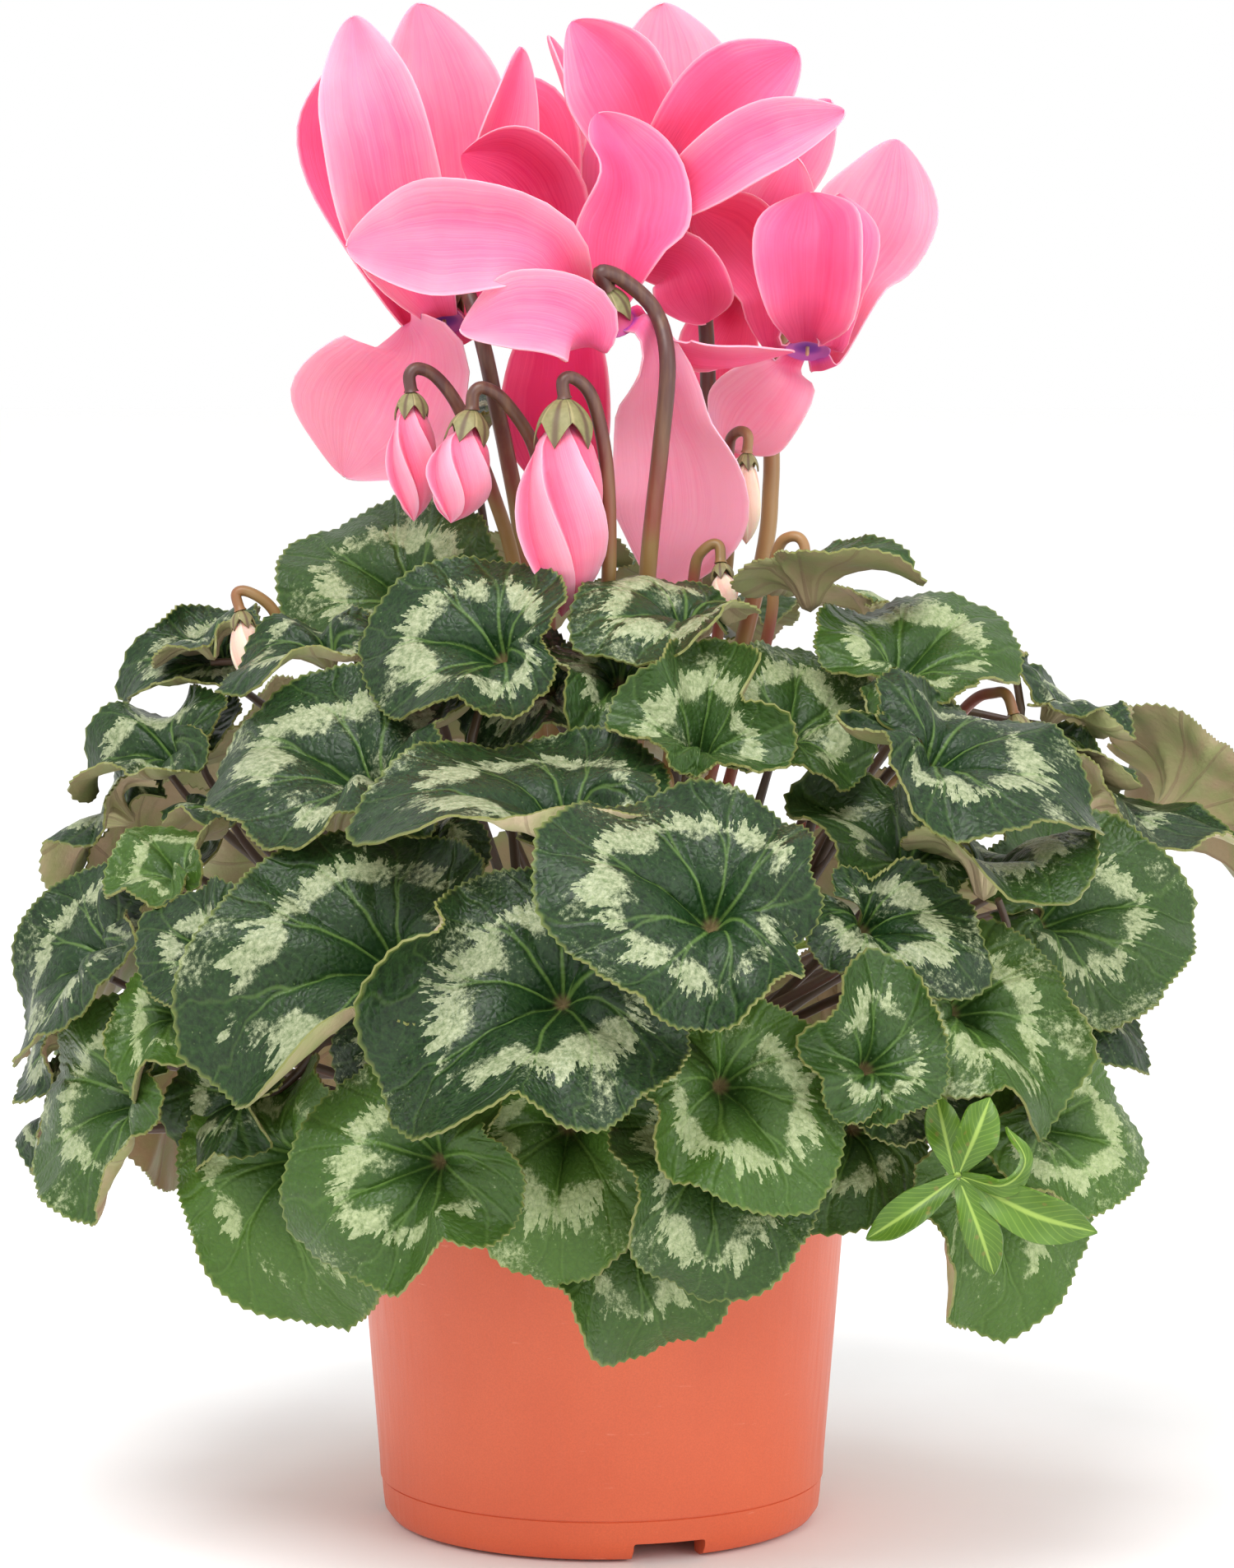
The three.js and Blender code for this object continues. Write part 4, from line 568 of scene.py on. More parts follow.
# %% From the rows to the leaves' places and bends
def layer_scale(layer):
    return 0.9 + 0.02 * layer


def dome_hit(px, py, scale, far):
    line = sight_line(px, py)
    half = DOME_HALF * scale
    o, d = (EYE - DOME_CENTRE) / half, line / half
    a, b, c = d @ d, o @ d, o @ o - 1
    root = math.sqrt(max(0, b * b - a * c))
    return EYE + line * (-b + (root if far else -root)) / a


def facing(heart, lean, front=0):
    """The blade faces out of the dome, but more to the sky, and some are turned more to the viewer."""
    out = unit((heart - DOME_CENTRE) / DOME_HALF**2)
    flat = unit(np.array([out[0], out[1] - front, 0]))
    rise = math.asin(out[2]) * 0.75 + math.radians(18 + lean)
    return flat * math.cos(rise) + Z * math.sin(rise)


def tip_direction(normal, dx, dy):
    """The direction in the blade's plane that is seen as the given step of pixels."""
    across = unit(X - normal * normal[0])
    up = np.cross(normal, across)
    seen = up @ VIEW_UP
    if abs(seen) < 0.4:
        seen = math.copysign(0.4, seen)
    right = dx / max(0.35, across[0])
    return unit(across * right + up * (-dy - right * (across @ VIEW_UP)) / seen)


def bends_of(leaf, index):
    """A blade's funnel, fold, wavy margin and curls."""
    curls = leaf.get("curls") or [
        [between(index, 10, -170, 0), 40, between(index, 11, 10, 70)],
        [between(index, 12, 0, 170), 40, between(index, 13, 10, 70)],
    ]
    return dict(
        leaf,
        index=index,
        side=np.cross(leaf["normal"], leaf["tip"]),
        funnel=math.radians(leaf.get("cup") or between(index, 1, 4, 16)),
        fold=math.radians(between(index, 2, 0, 9)),
        wave=math.radians(between(index, 3, 16, 32)),
        waves=3 + math.floor(between(index, 4, 0, 3)),
        phase=between(index, 5, 0, 2 * math.pi),
        curls=np.radians([[0, 24, between(index, 9, -60, -15)], *curls]),
        folds=2 + math.floor(between(index, 15, 0, 2.2)),
        ripples=5 + math.floor(between(index, 14, 0, 4)),
    )


def front_leaf(heart_x, heart_y, tip_x, tip_y, size, layer, lean, more=None):
    leaf = dict(more or {}, size=size, layer=layer)
    far = leaf.get("far")
    heart = dome_hit(heart_x, heart_y, layer_scale(layer), far)
    normal = facing(heart, lean, leaf.get("front", 0))
    tip = tip_direction(normal, tip_x - heart_x, tip_y - heart_y)
    return dict(leaf, heart=heart, normal=normal, tip=tip, away=normal if far else unit(EYE - heart))


def back_leaf(row, k, index):
    share = (k + between(index, 5, 0.25, 0.75)) / row["count"]
    azimuth = math.radians(row["start"] + (row["end"] - row["start"]) * share)
    rise = math.radians(row["rise"] + between(index, 6, -5, 5))
    out = [math.cos(rise) * math.cos(azimuth), math.cos(rise) * math.sin(azimuth), math.sin(rise)]
    heart = DOME_CENTRE + layer_scale(row["layer"]) * DOME_HALF * out
    normal = facing(heart, 0)
    down = unit(-Z + normal * normal[2])
    tip = turned(down, normal, math.degrees(between(index, 7, -0.9, 0.9)))
    size = row["size"] * between(index, 8, 0.85, 1.1)
    return dict(heart=heart, normal=normal, tip=tip, size=size, layer=row["layer"], away=normal)


leaves = [front_leaf(*row) for row in FRONT_LEAVES]
for row in BACK_ROWS:
    for k in range(row["count"]):
        leaves.append(back_leaf(row, k, len(leaves)))
leaves = [bends_of(leaf, index) for index, leaf in enumerate(leaves)]
print(len(leaves), "leaves")

# %% [markdown]
# ## The form of a blade
#
# The outline is a heart whose notch runs in to the stalk. A blade is straight over the inner part of its
# reach, and bends evenly from there to the margin, by a wave that runs round it and by its curls. A rule
# like this is quicker than pushing points by hand for so many blades, and each still differs.

# %% Outline and surface of a blade
STRAIGHT = 0.45  # share of a blade's reach that is straight
BENT = 1 - STRAIGHT


def leaf_outline(angle):
    a = np.minimum(np.abs(angle), np.pi)
    body = 0.64 + 0.09 * np.cos(a) + 0.27 * np.exp(-1.5 * a)
    return body * (1 - 0.25 * np.exp(-(((np.pi - a) / 0.25) ** 2)))


def margin_bend(leaf, angle):
    bend = leaf["wave"] * np.sin(leaf["waves"] * angle + leaf["phase"])
    for at, width, by in leaf["curls"]:
        off = np.arctan2(np.sin(angle - at), np.cos(angle - at))
        bend = bend + by * np.exp(-((off / width) ** 2))
    return np.where(np.abs(bend) < 0.01, 0.01, bend)


def leaf_points(leaf, share, angle, tooth=0.0, depth=0.0):
    """Points of a blade in mm, at shares of the way to the margin and at angles from the tip."""
    share, angle, tooth, depth = np.broadcast_arrays(share, angle, tooth, depth)
    reach = leaf["size"] * (leaf_outline(angle) + tooth)
    rise = leaf["funnel"] + leaf["fold"] * np.abs(np.sin(angle))
    bend = margin_bend(leaf, angle)
    last = rise + bend * np.maximum(0, share - STRAIGHT) / BENT
    straight = np.minimum(share, STRAIGHT) * reach
    arc = BENT * reach / bend
    out = straight * np.cos(rise) + arc * (np.sin(last) - np.sin(rise)) + depth * np.sin(last)
    up = straight * np.sin(rise) + arc * (np.cos(rise) - np.cos(last)) - depth * np.cos(last)
    out, up = np.where(share == 0, 0, out)[..., None], np.where(share == 0, -depth, up)[..., None]
    spread = leaf["tip"] * np.cos(angle)[..., None] + leaf["side"] * np.sin(angle)[..., None]
    return leaf["heart"] + spread * out + leaf["normal"] * up


# %% [markdown]
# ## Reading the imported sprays
#
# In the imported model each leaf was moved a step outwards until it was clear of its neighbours, and each
# stalk took a clear way to it. Those steps are found again here by trying each one against the corners of
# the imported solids, so that the fine leaves lie exactly where the solids are.

# %% Find each leaf's step and its spray
def corners_of(node):
    """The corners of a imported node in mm, each once."""
    mesh = nodes[node].data
    corners = np.empty(3 * len(mesh.vertices))
    mesh.vertices.foreach_get("co", corners)
    return np.unique(np.round(corners.reshape(-1, 3) * 1000, 4), axis=0)


sprays = sorted(name for name in nodes if name.startswith("spray_"))
spray_corners = {name: corners_of(name) for name in sprays}
spray_of_corner = [name for name in sprays for _ in spray_corners[name]]
corner_tree = KDTree(len(spray_of_corner))
for index, corner in enumerate(np.vstack([spray_corners[name] for name in sprays])):
    corner_tree.insert(Vector(corner), index)
corner_tree.balance()
NOTCH_ANGLE = math.pi - 0.1  # from the tip round to a packed blade's last corner
STEPS, STEP = 45, 1.5  # a leaf was moved outwards by so many steps of so many mm at most
RISES = [0, 3, -3, 6, -6, 10, 15, 20]  # and lifted off its face by one of these
NEAR = 0.05  # mm within which a point meets a corner


def seat_leaf(leaf):
    """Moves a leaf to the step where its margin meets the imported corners, and names its spray."""
    sectors = 6 if leaf["size"] < 44 else 8
    finer = 3 if leaf["size"] > 48 else 2
    teeth = np.arange(finer * sectors + 1)
    rays = -NOTCH_ANGLE + 2 * NOTCH_ANGLE * teeth / teeth[-1]
    rim = leaf_points(leaf, 1.0, rays, np.where(teeth % finer, -0.015, 0.02))
    best = (0, None, None)
    for k in range(STEPS):
        for rise in RISES:
            step = leaf["away"] * STEP * k + leaf["normal"] * (abs(rise) if leaf["layer"] > 0 else rise)
            found = [corner_tree.find(Vector(p + step)) for p in rim[:3]]
            if min(f[2] for f in found) > NEAR:
                continue
            found += [corner_tree.find(Vector(p + step)) for p in rim[3:]]
            hits = [spray_of_corner[f[1]] for f in found if f[2] < NEAR]
            if len(hits) > best[0]:
                best = (len(hits), step, max(set(hits), key=hits.count))
    leaf["heart"] = leaf["heart"] + best[1]
    leaf["spray"] = best[2]
    return best[0] / len(rim)


met = [seat_leaf(leaf) for leaf in leaves]
print("margins met: least", round(min(met), 2), "mean", round(float(np.mean(met)), 2))

# %% [markdown]
# ## Shoots on the corm
#
# The corm is a flattened ball in the compost. Leaves that grow near each other share a short shoot on its
# crown, the higher leaves on an inner ring of shoots and the lower ones on an outer ring.

# %% Shoots and the ways of the leaf stalks
CORM = dict(centre_z=81, radius=30, half_height=16)
GAP = 0.35  # mm of air between pieces
SHOOTS = dict(rings=[19, 26.6], heights=[150, -1e9], count=26, spacing=2.4, length=4, radius=3.4)
WAYS = dict(
    follow=(0.4, 0.6, 0.25, 0.8, 1),  # how far a stalk goes on along its shoot
    behind=(0.3, 0.12, 0.5),  # how far behind its blade it comes in
    up=(0, 0.2, 0.4, -0.2, 0.6),  # how far it's lifted there
    sway=(0, 0.15, -0.15, 0.3, -0.3, 0.45, -0.45),  # and how far it swings to one side
)
RING_RADII = {1: 1.44, 2: 1.36}  # of a packed leaf stalk's two middle rings


def crown_place(radius, azimuth):
    """A place just clear of the corm's crown, and the direction that a shoot leaves it in."""
    s = radius / CORM["radius"]
    c = math.sqrt(1 - s * s)
    ring = np.array([math.cos(azimuth), math.sin(azimuth), 0])
    out = unit(ring * s / CORM["radius"] + Z * c / CORM["half_height"])
    return ring * radius + Z * (CORM["centre_z"] + CORM["half_height"] * c) + out * GAP, out


def azimuth_of(place):
    return math.atan2(place[1], place[0] - DOME_CENTRE[0])


def spread_apart(angles, step):
    for _ in range(300):
        for k in range(len(angles)):
            following = (k + 1) % len(angles)
            gap = angles[following] - angles[k] + (2 * math.pi if following == 0 else 0)
            if gap < step:
                angles[k] -= (step - gap) / 2
                angles[following] += (step - gap) / 2


def find_shoots():
    shoots = []
    for band, low in enumerate(SHOOTS["heights"]):
        high = SHOOTS["heights"][band - 1] if band else 1e9
        own = [leaf for leaf in leaves if low <= leaf["heart"][2] < high]
        own.sort(key=lambda leaf: azimuth_of(leaf["heart"]))
        count = math.floor(SHOOTS["count"] * len(own) / len(leaves) + 0.5)
        cuts = [math.floor(k * len(own) / count + 0.5) for k in range(count + 1)]
        groups = [own[a:b] for a, b in zip(cuts, cuts[1:])]
        azimuths = [azimuth_of(np.mean([leaf["heart"] for leaf in group], axis=0)) for group in groups]
        spread_apart(azimuths, (2 * SHOOTS["radius"] + 3 * GAP) / SHOOTS["rings"][band])
        for group, azimuth in zip(groups, azimuths):
            place, out = crown_place(SHOOTS["rings"][band], azimuth)
            shoots.append(dict(place=place, out=out, leaves=[leaf["index"] for leaf in group]))
    return dict(zip(sprays, shoots))


def stalk_curve(shoot, leaf, follow, behind, up, sway):
    """The four handles of a leaf stalk's curve, from its shoot to the underside of its blade."""
    slot = shoot["leaves"].index(leaf["index"]) if leaf["index"] in shoot["leaves"] else 0
    beside = unit(np.cross(Z, shoot["out"]))
    start = shoot["place"] + shoot["out"] * 0.5 * SHOOTS["length"] + beside * SHOOTS["spacing"] * (slot - 1)
    end = leaf_points(leaf, 0.12, 0.38, 0, 0.5)
    reach = np.linalg.norm(end - start)
    second = end - leaf["normal"] * behind * reach + leaf["side"] * sway * reach + Z * up * reach
    return np.array([start, start + shoot["out"] * follow * reach, second, end])


def on_curve(handles, t):
    t = np.atleast_1d(t)[:, None]
    a, b, c, d = handles
    return a * (1 - t) ** 3 + 3 * b * t * (1 - t) ** 2 + 3 * c * t * t * (1 - t) + d * t**3


def stalk_miss(handles):
    """How far in mm a stalk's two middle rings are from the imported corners."""
    path = on_curve(handles, np.linspace(0, 1, 4))
    side, miss = np.array([0.6, 0.8, 0.1]), 0
    for k in range(3):
        ahead = unit(path[k + 1] - path[max(k - 1, 0)])
        side = unit(side - ahead * (side @ ahead))
        if k in RING_RADII:
            miss += min(1, corner_tree.find(Vector(path[k] + side * RING_RADII[k]))[2])
    return miss


def trace_stalk(shoot, leaf):
    """Tries each way a leaf stalk may take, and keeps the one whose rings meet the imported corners."""
    best = (math.inf, None)
    for way in itertools.product(*WAYS.values()):
        handles = stalk_curve(shoot, leaf, *way)
        miss = stalk_miss(handles)
        if miss < best[0]:
            best = (miss, handles)
        if miss < 0.02:
            break
    return best


shoots = find_shoots()
misses = []
for leaf in leaves:
    miss, leaf["stalk"] = trace_stalk(shoots[leaf["spray"]], leaf)
    misses.append(miss)
print("leaf stalks found:", sum(miss < 0.1 for miss in misses), "of", len(misses))

# %% [markdown]
# ## Laying the leaves
#
# Each blade is a grid with its first row gathered at the heart. Two columns make one tooth of the margin,
# about 2 mm wide. The blade is drawn in at its heart and swells by a millimetre or two between the main
# veins. Two to four broad folds lift and lower it towards the margin, and finer ripples run along there.
# The stalks are the same kind of grid closed into a tube, and so is the shoot that they share.

# %% Blades, tubes and shoots
LEAF_SHARES = [0, 0.06, 0.14, 0.24, 0.34, 0.45, 0.56, 0.67, 0.78, 0.87, 0.94, 1]
HEART_DEPTH = 0.08  # how deep a blade's heart is drawn in, as a share of its size
CLOSED_NOTCH = math.pi + 0.1  # the two basal lobes lie over each other a little
TOOTH = 2.1  # mm of the margin to a tooth
BLADE_THICKNESS, PETAL_THICKNESS = 0.6, 0.45
SHOOT_PROFILE = [(0, 3.4), (1.2, 3.5), (2.6, 3.3), (3.6, 2.7), (4.1, 1.6)]  # height and radius


def blade_height(leaf, u, angle):
    """How far a blade is lifted from its plain curve, as a share of its size."""
    seed, folds = leaf["index"], leaf["folds"]
    lobes = np.abs(np.sin(angle * (1 - 0.2 * u) * math.pi / VEIN_STEP)) ** 0.8
    dome = 0.09 * (smooth_step(u, 0, 0.4) - 0.9 * smooth_step(u, 0.55, 1))
    dome -= HEART_DEPTH * smooth_step(u, 0.22, 0)
    swell = 0.04 * lobes * np.sin(np.pi * np.clip(u, 0, 1)) ** 0.8
    turn = angle + 0.5 * np.sin(angle + seed)
    fold = np.sin(folds * turn + 1.7 * seed) + 0.45 * np.sin((folds + 1.5) * turn + 3.1 * seed)
    wave = 0.1 * smooth_step(u, 0.08, 0.95) * fold
    wave += 0.02 * u**3 * np.sin(leaf["ripples"] * angle + 2.1 * seed)
    wave += 0.011 * u**4 * np.sin(15 * angle + seed) + 0.007 * u**4 * np.sin(29 * angle + 2 * seed)
    return dome + swell + wave


def lay_blade(leaf):
    teeth = round(2 * math.pi * 0.72 * leaf["size"] / TOOTH)
    seed = leaf["index"]

    def place_at(u, v):
        angle = v * CLOSED_NOTCH
        column = np.rint((v + 1) * teeth).astype(int)
        tooth = np.where(u == 1, np.where(column % 2, 0.42, -0.38) / leaf["size"], 0)
        over = 1.5 * np.sign(v) * smooth_step(np.abs(angle), 2.4, 3.24) * smooth_step(u, 0.04, 0.4)
        depth = 0.5 - leaf["size"] * blade_height(leaf, u, angle) - over
        return leaf_points(leaf, u, angle, tooth, depth)

    def marks(u, v):
        angle = v * CLOSED_NOTCH
        reach = u * leaf["size"] * leaf_outline(angle)
        # Leaves listed as pale behind get the pale underside, partly as painted light through the blade.
        back_tone = 1 if leaf.get("pale_and_lit_back") else between(seed, 31, 0, 0.6)
        # The listed lighter greens are partly painted glow of light through the blade; the others differ at
        # random.
        bright = leaf.get("tone_and_painted_glow", max(0, between(seed, 33, -0.3, 0.2)))
        return {
            "blade_place": np.column_stack([reach * np.cos(angle), reach * np.sin(angle), u]),
            "leaf_kind": np.tile([back_tone, between(seed, 32, -0.05, 0.06), bright], (len(u), 1)),
        }

    blade = lay_grid("blade", LEAF_SHARES, 2 * teeth, place_at, marks)
    edit_all((bpy.ops.mesh.remove_doubles, {"threshold": MERGE}))
    give_thickness(blade, BLADE_THICKNESS, [leaf_top, leaf_under, leaf_edge])
    return blade


def lay_tube(name, path, radii, sides, material):
    """A round rod along a path in mm, with a radius at each of its points, and closed ends."""
    path, radii = np.asarray(path, float), np.asarray(radii, float)
    ahead = np.gradient(path, axis=0)
    ahead /= np.linalg.norm(ahead, axis=1)[:, None]
    side = np.empty_like(path)
    side[0] = unit(np.cross(ahead[0], [0.3, 0.5, -0.8]))
    for k in range(1, len(path)):
        side[k] = unit(side[k - 1] - ahead[k] * (side[k - 1] @ ahead[k]))
    up = np.cross(ahead, side)
    reach = np.concatenate([[0], radii, [0]])
    rows = np.concatenate([[0], np.arange(len(path)), [len(path) - 1]])
    shares = np.linspace(0, 1, len(rows))

    def place_at(u, v):
        at = np.rint(u * (len(rows) - 1)).astype(int)
        k, r, a = rows[at], reach[at][:, None], (v * math.pi)[:, None]
        return path[k] + r * (side[k] * np.cos(a) + up[k] * np.sin(a))

    tube = lay_grid(name, shares, sides, place_at)
    tube.data.materials.append(material)
    weld()
    return tube


def behind_blade(leaf, t):
    """A leaf stalk's path, which comes to its blade from behind and ends under its heart."""
    path = on_curve(leaf["stalk"], t)
    end = path[-1]
    height = (path - end) @ leaf["normal"]
    distance = np.linalg.norm(path - end, axis=1)
    close = smooth_step(distance, 1.1 * leaf["size"], 0.6 * leaf["size"])
    path -= np.outer(close * np.maximum(0, height + 0.45 * distance), leaf["normal"])
    return path - np.outer(smooth_step(t, 0.8, 1) * (0.9 + HEART_DEPTH * leaf["size"]), leaf["normal"])


def lay_spray(name):
    shoot = shoots[name]
    heights, radii = zip(*SHOOT_PROFILE)
    parts = [lay_tube("knob", [shoot["place"] + shoot["out"] * h for h in heights], radii, 12, leaf_stalk)]
    for leaf in leaves:
        if leaf["spray"] == name:
            t = np.linspace(0, 1, 18)
            radii = 1.3 - 0.35 * smooth_step(t, 0.75, 1) + 0.25 * smooth_step(t, 0.12, 0)
            parts += [lay_blade(leaf), lay_tube("leaf_stalk", behind_blade(leaf, t), radii, 8, leaf_stalk)]
    return join(name.replace("spray", "leaves"), parts)


for name in sprays:
    finish_piece(lay_spray(name), name)
laid = [piece for piece in bpy.data.objects if piece.name.startswith("leaves_")]
print("leaves laid:", sum(len(piece.data.polygons) for piece in laid), "faces")

# %% [markdown]
# ## Flowers and buds
#
# A cyclamen flower hangs from a bent stalk. Five pointed sepals cap a short tube, and from the tube's
# mouth five petals sweep back up, a little twisted. A petal's rows, towards its tip, give where its
# middle is seen, its depth, half its width in mm, and how far it's turned about its length in degrees.
# Its look is how deep its pink is, from 0, pale, to 1, deep, and how far one of its edges curls. The depth
# is partly painted shade, deeper on the flower that lies in shade behind the others, and partly painted
# light, pale on the middle flower's lowest petal, which hangs in shade. A bud hangs closed, its five petals
# rolled round each other.

# %% Flower and bud rows
BLOOMS = [
    dict(
        name="bloom_left", calyx=[536, 346, 6], mouth=[541, 398, 12],
        looks=[(0.75, 0.4), (0.3, 0.9), (0.25, 0.5), (0.5, 0.6), (0.1, 0.2)],
        petals=[
            [[452, 290, -2, 9, 20], [408, 170, -8, 11, 25], [430, 56, -10, 7, 35]],
            [[492, 280, 24, 12, -10], [462, 140, 26, 11, -15], [430, 20, 18, 7, -30]],
            [[556, 270, -12, 12, 5], [538, 130, -16, 15, 0], [508, 4, -18, 10, 0]],
            [[584, 270, 4, 8, 40], [606, 160, 2, 8, 50], [634, 58, 0, 5, 60]],
            [[500, 440, 20, 16, 10], [455, 510, 18, 20, 5], [420, 580, 12, 10, 0]],
        ],
    ),
    dict(
        name="bloom_middle", calyx=[737, 350, 52], mouth=[748, 412, 44],
        # The lowest petal's depth of 0.0 is partly painted light: it is kept pale where it hangs in shade.
        looks=[(0.3, 0.3), (0.3, 0.5), (0.7, 0.9), (0.5, -0.6), (0.0, 0.15)],
        petals=[
            [[655, 305, 52, 10, 10], [540, 290, 50, 13, 5], [422, 300, 38, 9, 15]],
            [[700, 392, 58, 10, 5], [635, 378, 58, 9, 5], [560, 400, 52, 6, 20]],
            [[746, 310, 34, 11, 10], [758, 220, 28, 10, 50], [727, 138, 20, 6, 20]],
            [[822, 426, 38, 8, 50], [885, 438, 38, 9, 62], [965, 427, 34, 6, 70]],
            [[806, 500, 34, 12, 12], [828, 610, 30, 16, 5], [806, 718, 26, 10, 0]],
        ],
    ),
    dict(
        name="bloom_inner", calyx=[690, 292, -8], mouth=[682, 346, -10],
        # These deep pinks are partly painted shade, since this flower lies in shade behind the others; 1.15
        # on its lowest petal.
        looks=[(0.85, 0.5), (1.0, 0.5), (0.5, 0.7), (1.15, 0.3), (0.7, 0.5)],
        petals=[
            [[660, 240, -26, 10, 0], [636, 155, -30, 12, 5], [572, 122, -32, 8, 10]],
            [[656, 262, 8, 12, 0], [620, 212, 12, 12, 0], [562, 188, 14, 7, 10]],
            [[706, 210, -40, 8, 50], [694, 120, -46, 8, 55], [666, 44, -48, 5, 50]],
            [[680, 430, -2, 12, 0], [676, 520, -2, 13, 5], [668, 598, -6, 8, 0]],
            [[738, 262, -26, 10, -20], [752, 180, -44, 10, -20], [746, 96, -56, 6, -20]],
        ],
    ),
    dict(
        name="bloom_right_top", calyx=[838, 300, 2], mouth=[794, 282, 4],
        looks=[(0.55, 0.7), (0.15, 0.3), (0.65, 0.6), (0.45, 0.4), (0.9, 0.3)],
        petals=[
            [[782, 190, 0, 10, 0], [748, 108, -2, 12, 5], [696, 26, -8, 7, 15]],
            [[814, 180, -14, 12, 0], [816, 90, -20, 14, 0], [806, 4, -24, 9, 0]],
            [[832, 190, 10, 11, 0], [888, 118, 12, 12, 5], [968, 60, 6, 8, 10]],
            [[862, 208, 24, 8, 0], [930, 164, 26, 8, 5], [1026, 135, 18, 5, 10]],
            [[824, 320, 18, 8, 0], [842, 352, 18, 9, 5], [858, 392, 10, 6, 0]],
        ],
    ),
    dict(
        name="bloom_right", calyx=[984, 378, 4], mouth=[981, 434, 10],
        looks=[(0.15, 0.3), (0.65, 0.8), (0.5, -0.6), (0.65, 0.5), (0.05, 0.2)],
        petals=[
            [[1030, 345, -18, 11, -8], [1070, 262, -20, 14, -8], [1090, 170, -22, 9, 0]],
            [[980, 360, 26, 11, 5], [978, 292, 28, 12, 5], [984, 234, 20, 7, 10]],
            [[1012, 350, 17, 8, -10], [1026, 290, 14, 8, -15], [1020, 236, 8, 5, -10]],
            [[938, 356, 10, 9, 15], [892, 292, 8, 10, 15], [842, 252, 4, 6, 20]],
            [[946, 466, 4, 10, 0], [912, 506, 0, 11, 5], [880, 544, -4, 7, 0]],
        ],
    ),
    dict(
        name="bloom_back", calyx=[872, 300, -52], mouth=[866, 350, -48],
        looks=[(0.4, 0.4), (0.5, 0.4), (0.4, 0.4), (0.8, 0.5), (0.6, 0.3)],
        petals=[
            [[910, 270, -44, 9, 0], [960, 190, -44, 9, 5], [1010, 122, -46, 6, 5]],
            [[910, 300, -38, 9, 0], [945, 240, -36, 9, 0], [966, 190, -38, 6, 0]],
            [[846, 260, -68, 11, 0], [852, 180, -74, 12, 0], [862, 110, -78, 8, 0]],
            [[826, 300, -40, 9, 10], [790, 240, -44, 10, 10], [770, 170, -48, 7, 0]],
            [[874, 430, -42, 11, 0], [872, 500, -42, 12, 0], [866, 570, -46, 8, 0]],
        ],
    ),
]

BUDS = [
    dict(name="bud_1", calyx=[500, 476, 42], tip=[503, 634, 44], radius=5.6, colour="petal"),
    dict(name="bud_2", calyx=[574, 498, 54], tip=[548, 636, 58], radius=7.2, colour="petal"),
    dict(name="bud_3", calyx=[686, 484, 64], tip=[683, 750, 66], radius=9.8, colour="petal"),
    dict(name="bud_4", calyx=[908, 550, 22], tip=[907, 662, 24], radius=3.6, colour="pale"),
    dict(name="bud_5", calyx=[876, 684, 38], tip=[884, 742, 42], radius=3.4, colour="pale"),
    dict(name="bud_6", calyx=[978, 684, 24], tip=[980, 734, 26], radius=3.2, colour="green"),
    dict(name="bud_7", calyx=[292, 742, 26], tip=[308, 834, 30], radius=4.2, colour="pale"),
    dict(name="bud_8", calyx=[1232, 868, 62], tip=[1256, 940, 66], radius=4.4, colour="pale"),
    dict(name="bud_9", calyx=[812, 966, 112], tip=[815, 1012, 112], radius=3.2, colour="green"),
]
TUBE_MOUTH, TUBE_LENGTH = 6, 11  # radius and length in mm
PETAL_SHARES = np.sin(np.linspace(0, math.pi / 2, 30)) ** 0.95  # rows lie closer towards the tip

# %% [markdown]
# ## Petal, sepal and stalk finishes
#
# Petals are thin and matt with a faint sheen. The pink is deepest near the mouth, pales towards the edges
# and is drawn in fine darker lines that run the length of the petal. A violet ring marks the mouth. Some
# light passes through a petal, so it glows a little from within. The stalks are dark brown where they
# bend and reddish or tan lower down, and the one at the right is tan. Sepals are olive with a dark middle.

# %% Petal material: pigmented thin petal, for open flowers, buds and pale buds
def petal_finish(name, edge_pale, pale, middle, deep, mouth):
    material, tree, shader = new_material(
        name, Roughness=0.55, Specular_IOR_Level=0.3, Subsurface_Weight=0.45, Subsurface_Scale=0.004
    )
    u, v, tone = apart(tree, attribute(tree, "petal_place"))
    where = object_place(tree)
    cloud = noise(tree, where, 55.0, 2.0)
    # Fine lines run along the petal, about half a millimetre apart, and waver a little.
    drift = calc(tree, "MULTIPLY_ADD", cloud, 0.25, v)
    lines = add(tree, "CombineXYZ", {"X": u, "Y": drift, "Z": tone})
    lines = streaks(tree, lines, (2.2, 24.0, 30.0), 3.0, 0.6)
    # How deep the pink is here: deep at the mouth, paler to the edges and the tip, and in soft clouds.
    across = calc(tree, "ABSOLUTE", v)
    depth = calc(tree, "ADD", tone, smooth_ramp(tree, u, 0.05, 0.55, 0.5, -0.08))
    depth = calc(tree, "ADD", depth, smooth_ramp(tree, across, 0.3, 1.0, 0.0, -0.28))
    depth = calc(tree, "ADD", depth, smooth_ramp(tree, u, 0.6, 1.0, 0.0, -0.15))
    depth = calc(tree, "MULTIPLY_ADD", cloud, 0.5, depth)
    depth = calc(tree, "MULTIPLY_ADD", lines, 0.5, depth)
    # The pinks in turn, the violet mouth, and the very edge, which is thin and has little pigment in it.
    pink = layered(
        tree,
        blend(tree, ramp(tree, depth, 0.25, 0.85), pale, middle),
        (ramp(tree, depth, 0.85, 1.5), deep),
        (smooth_ramp(tree, u, 0.0, 0.13, 0.75, 0.0), mouth),
        (ramp(tree, across, 0.93, 1.0, 0.0, 0.4), edge_pale),
    )
    colour(tree, shader, pink)
    relief(tree, shader, lines, 0.3, 0.0005)
    return material


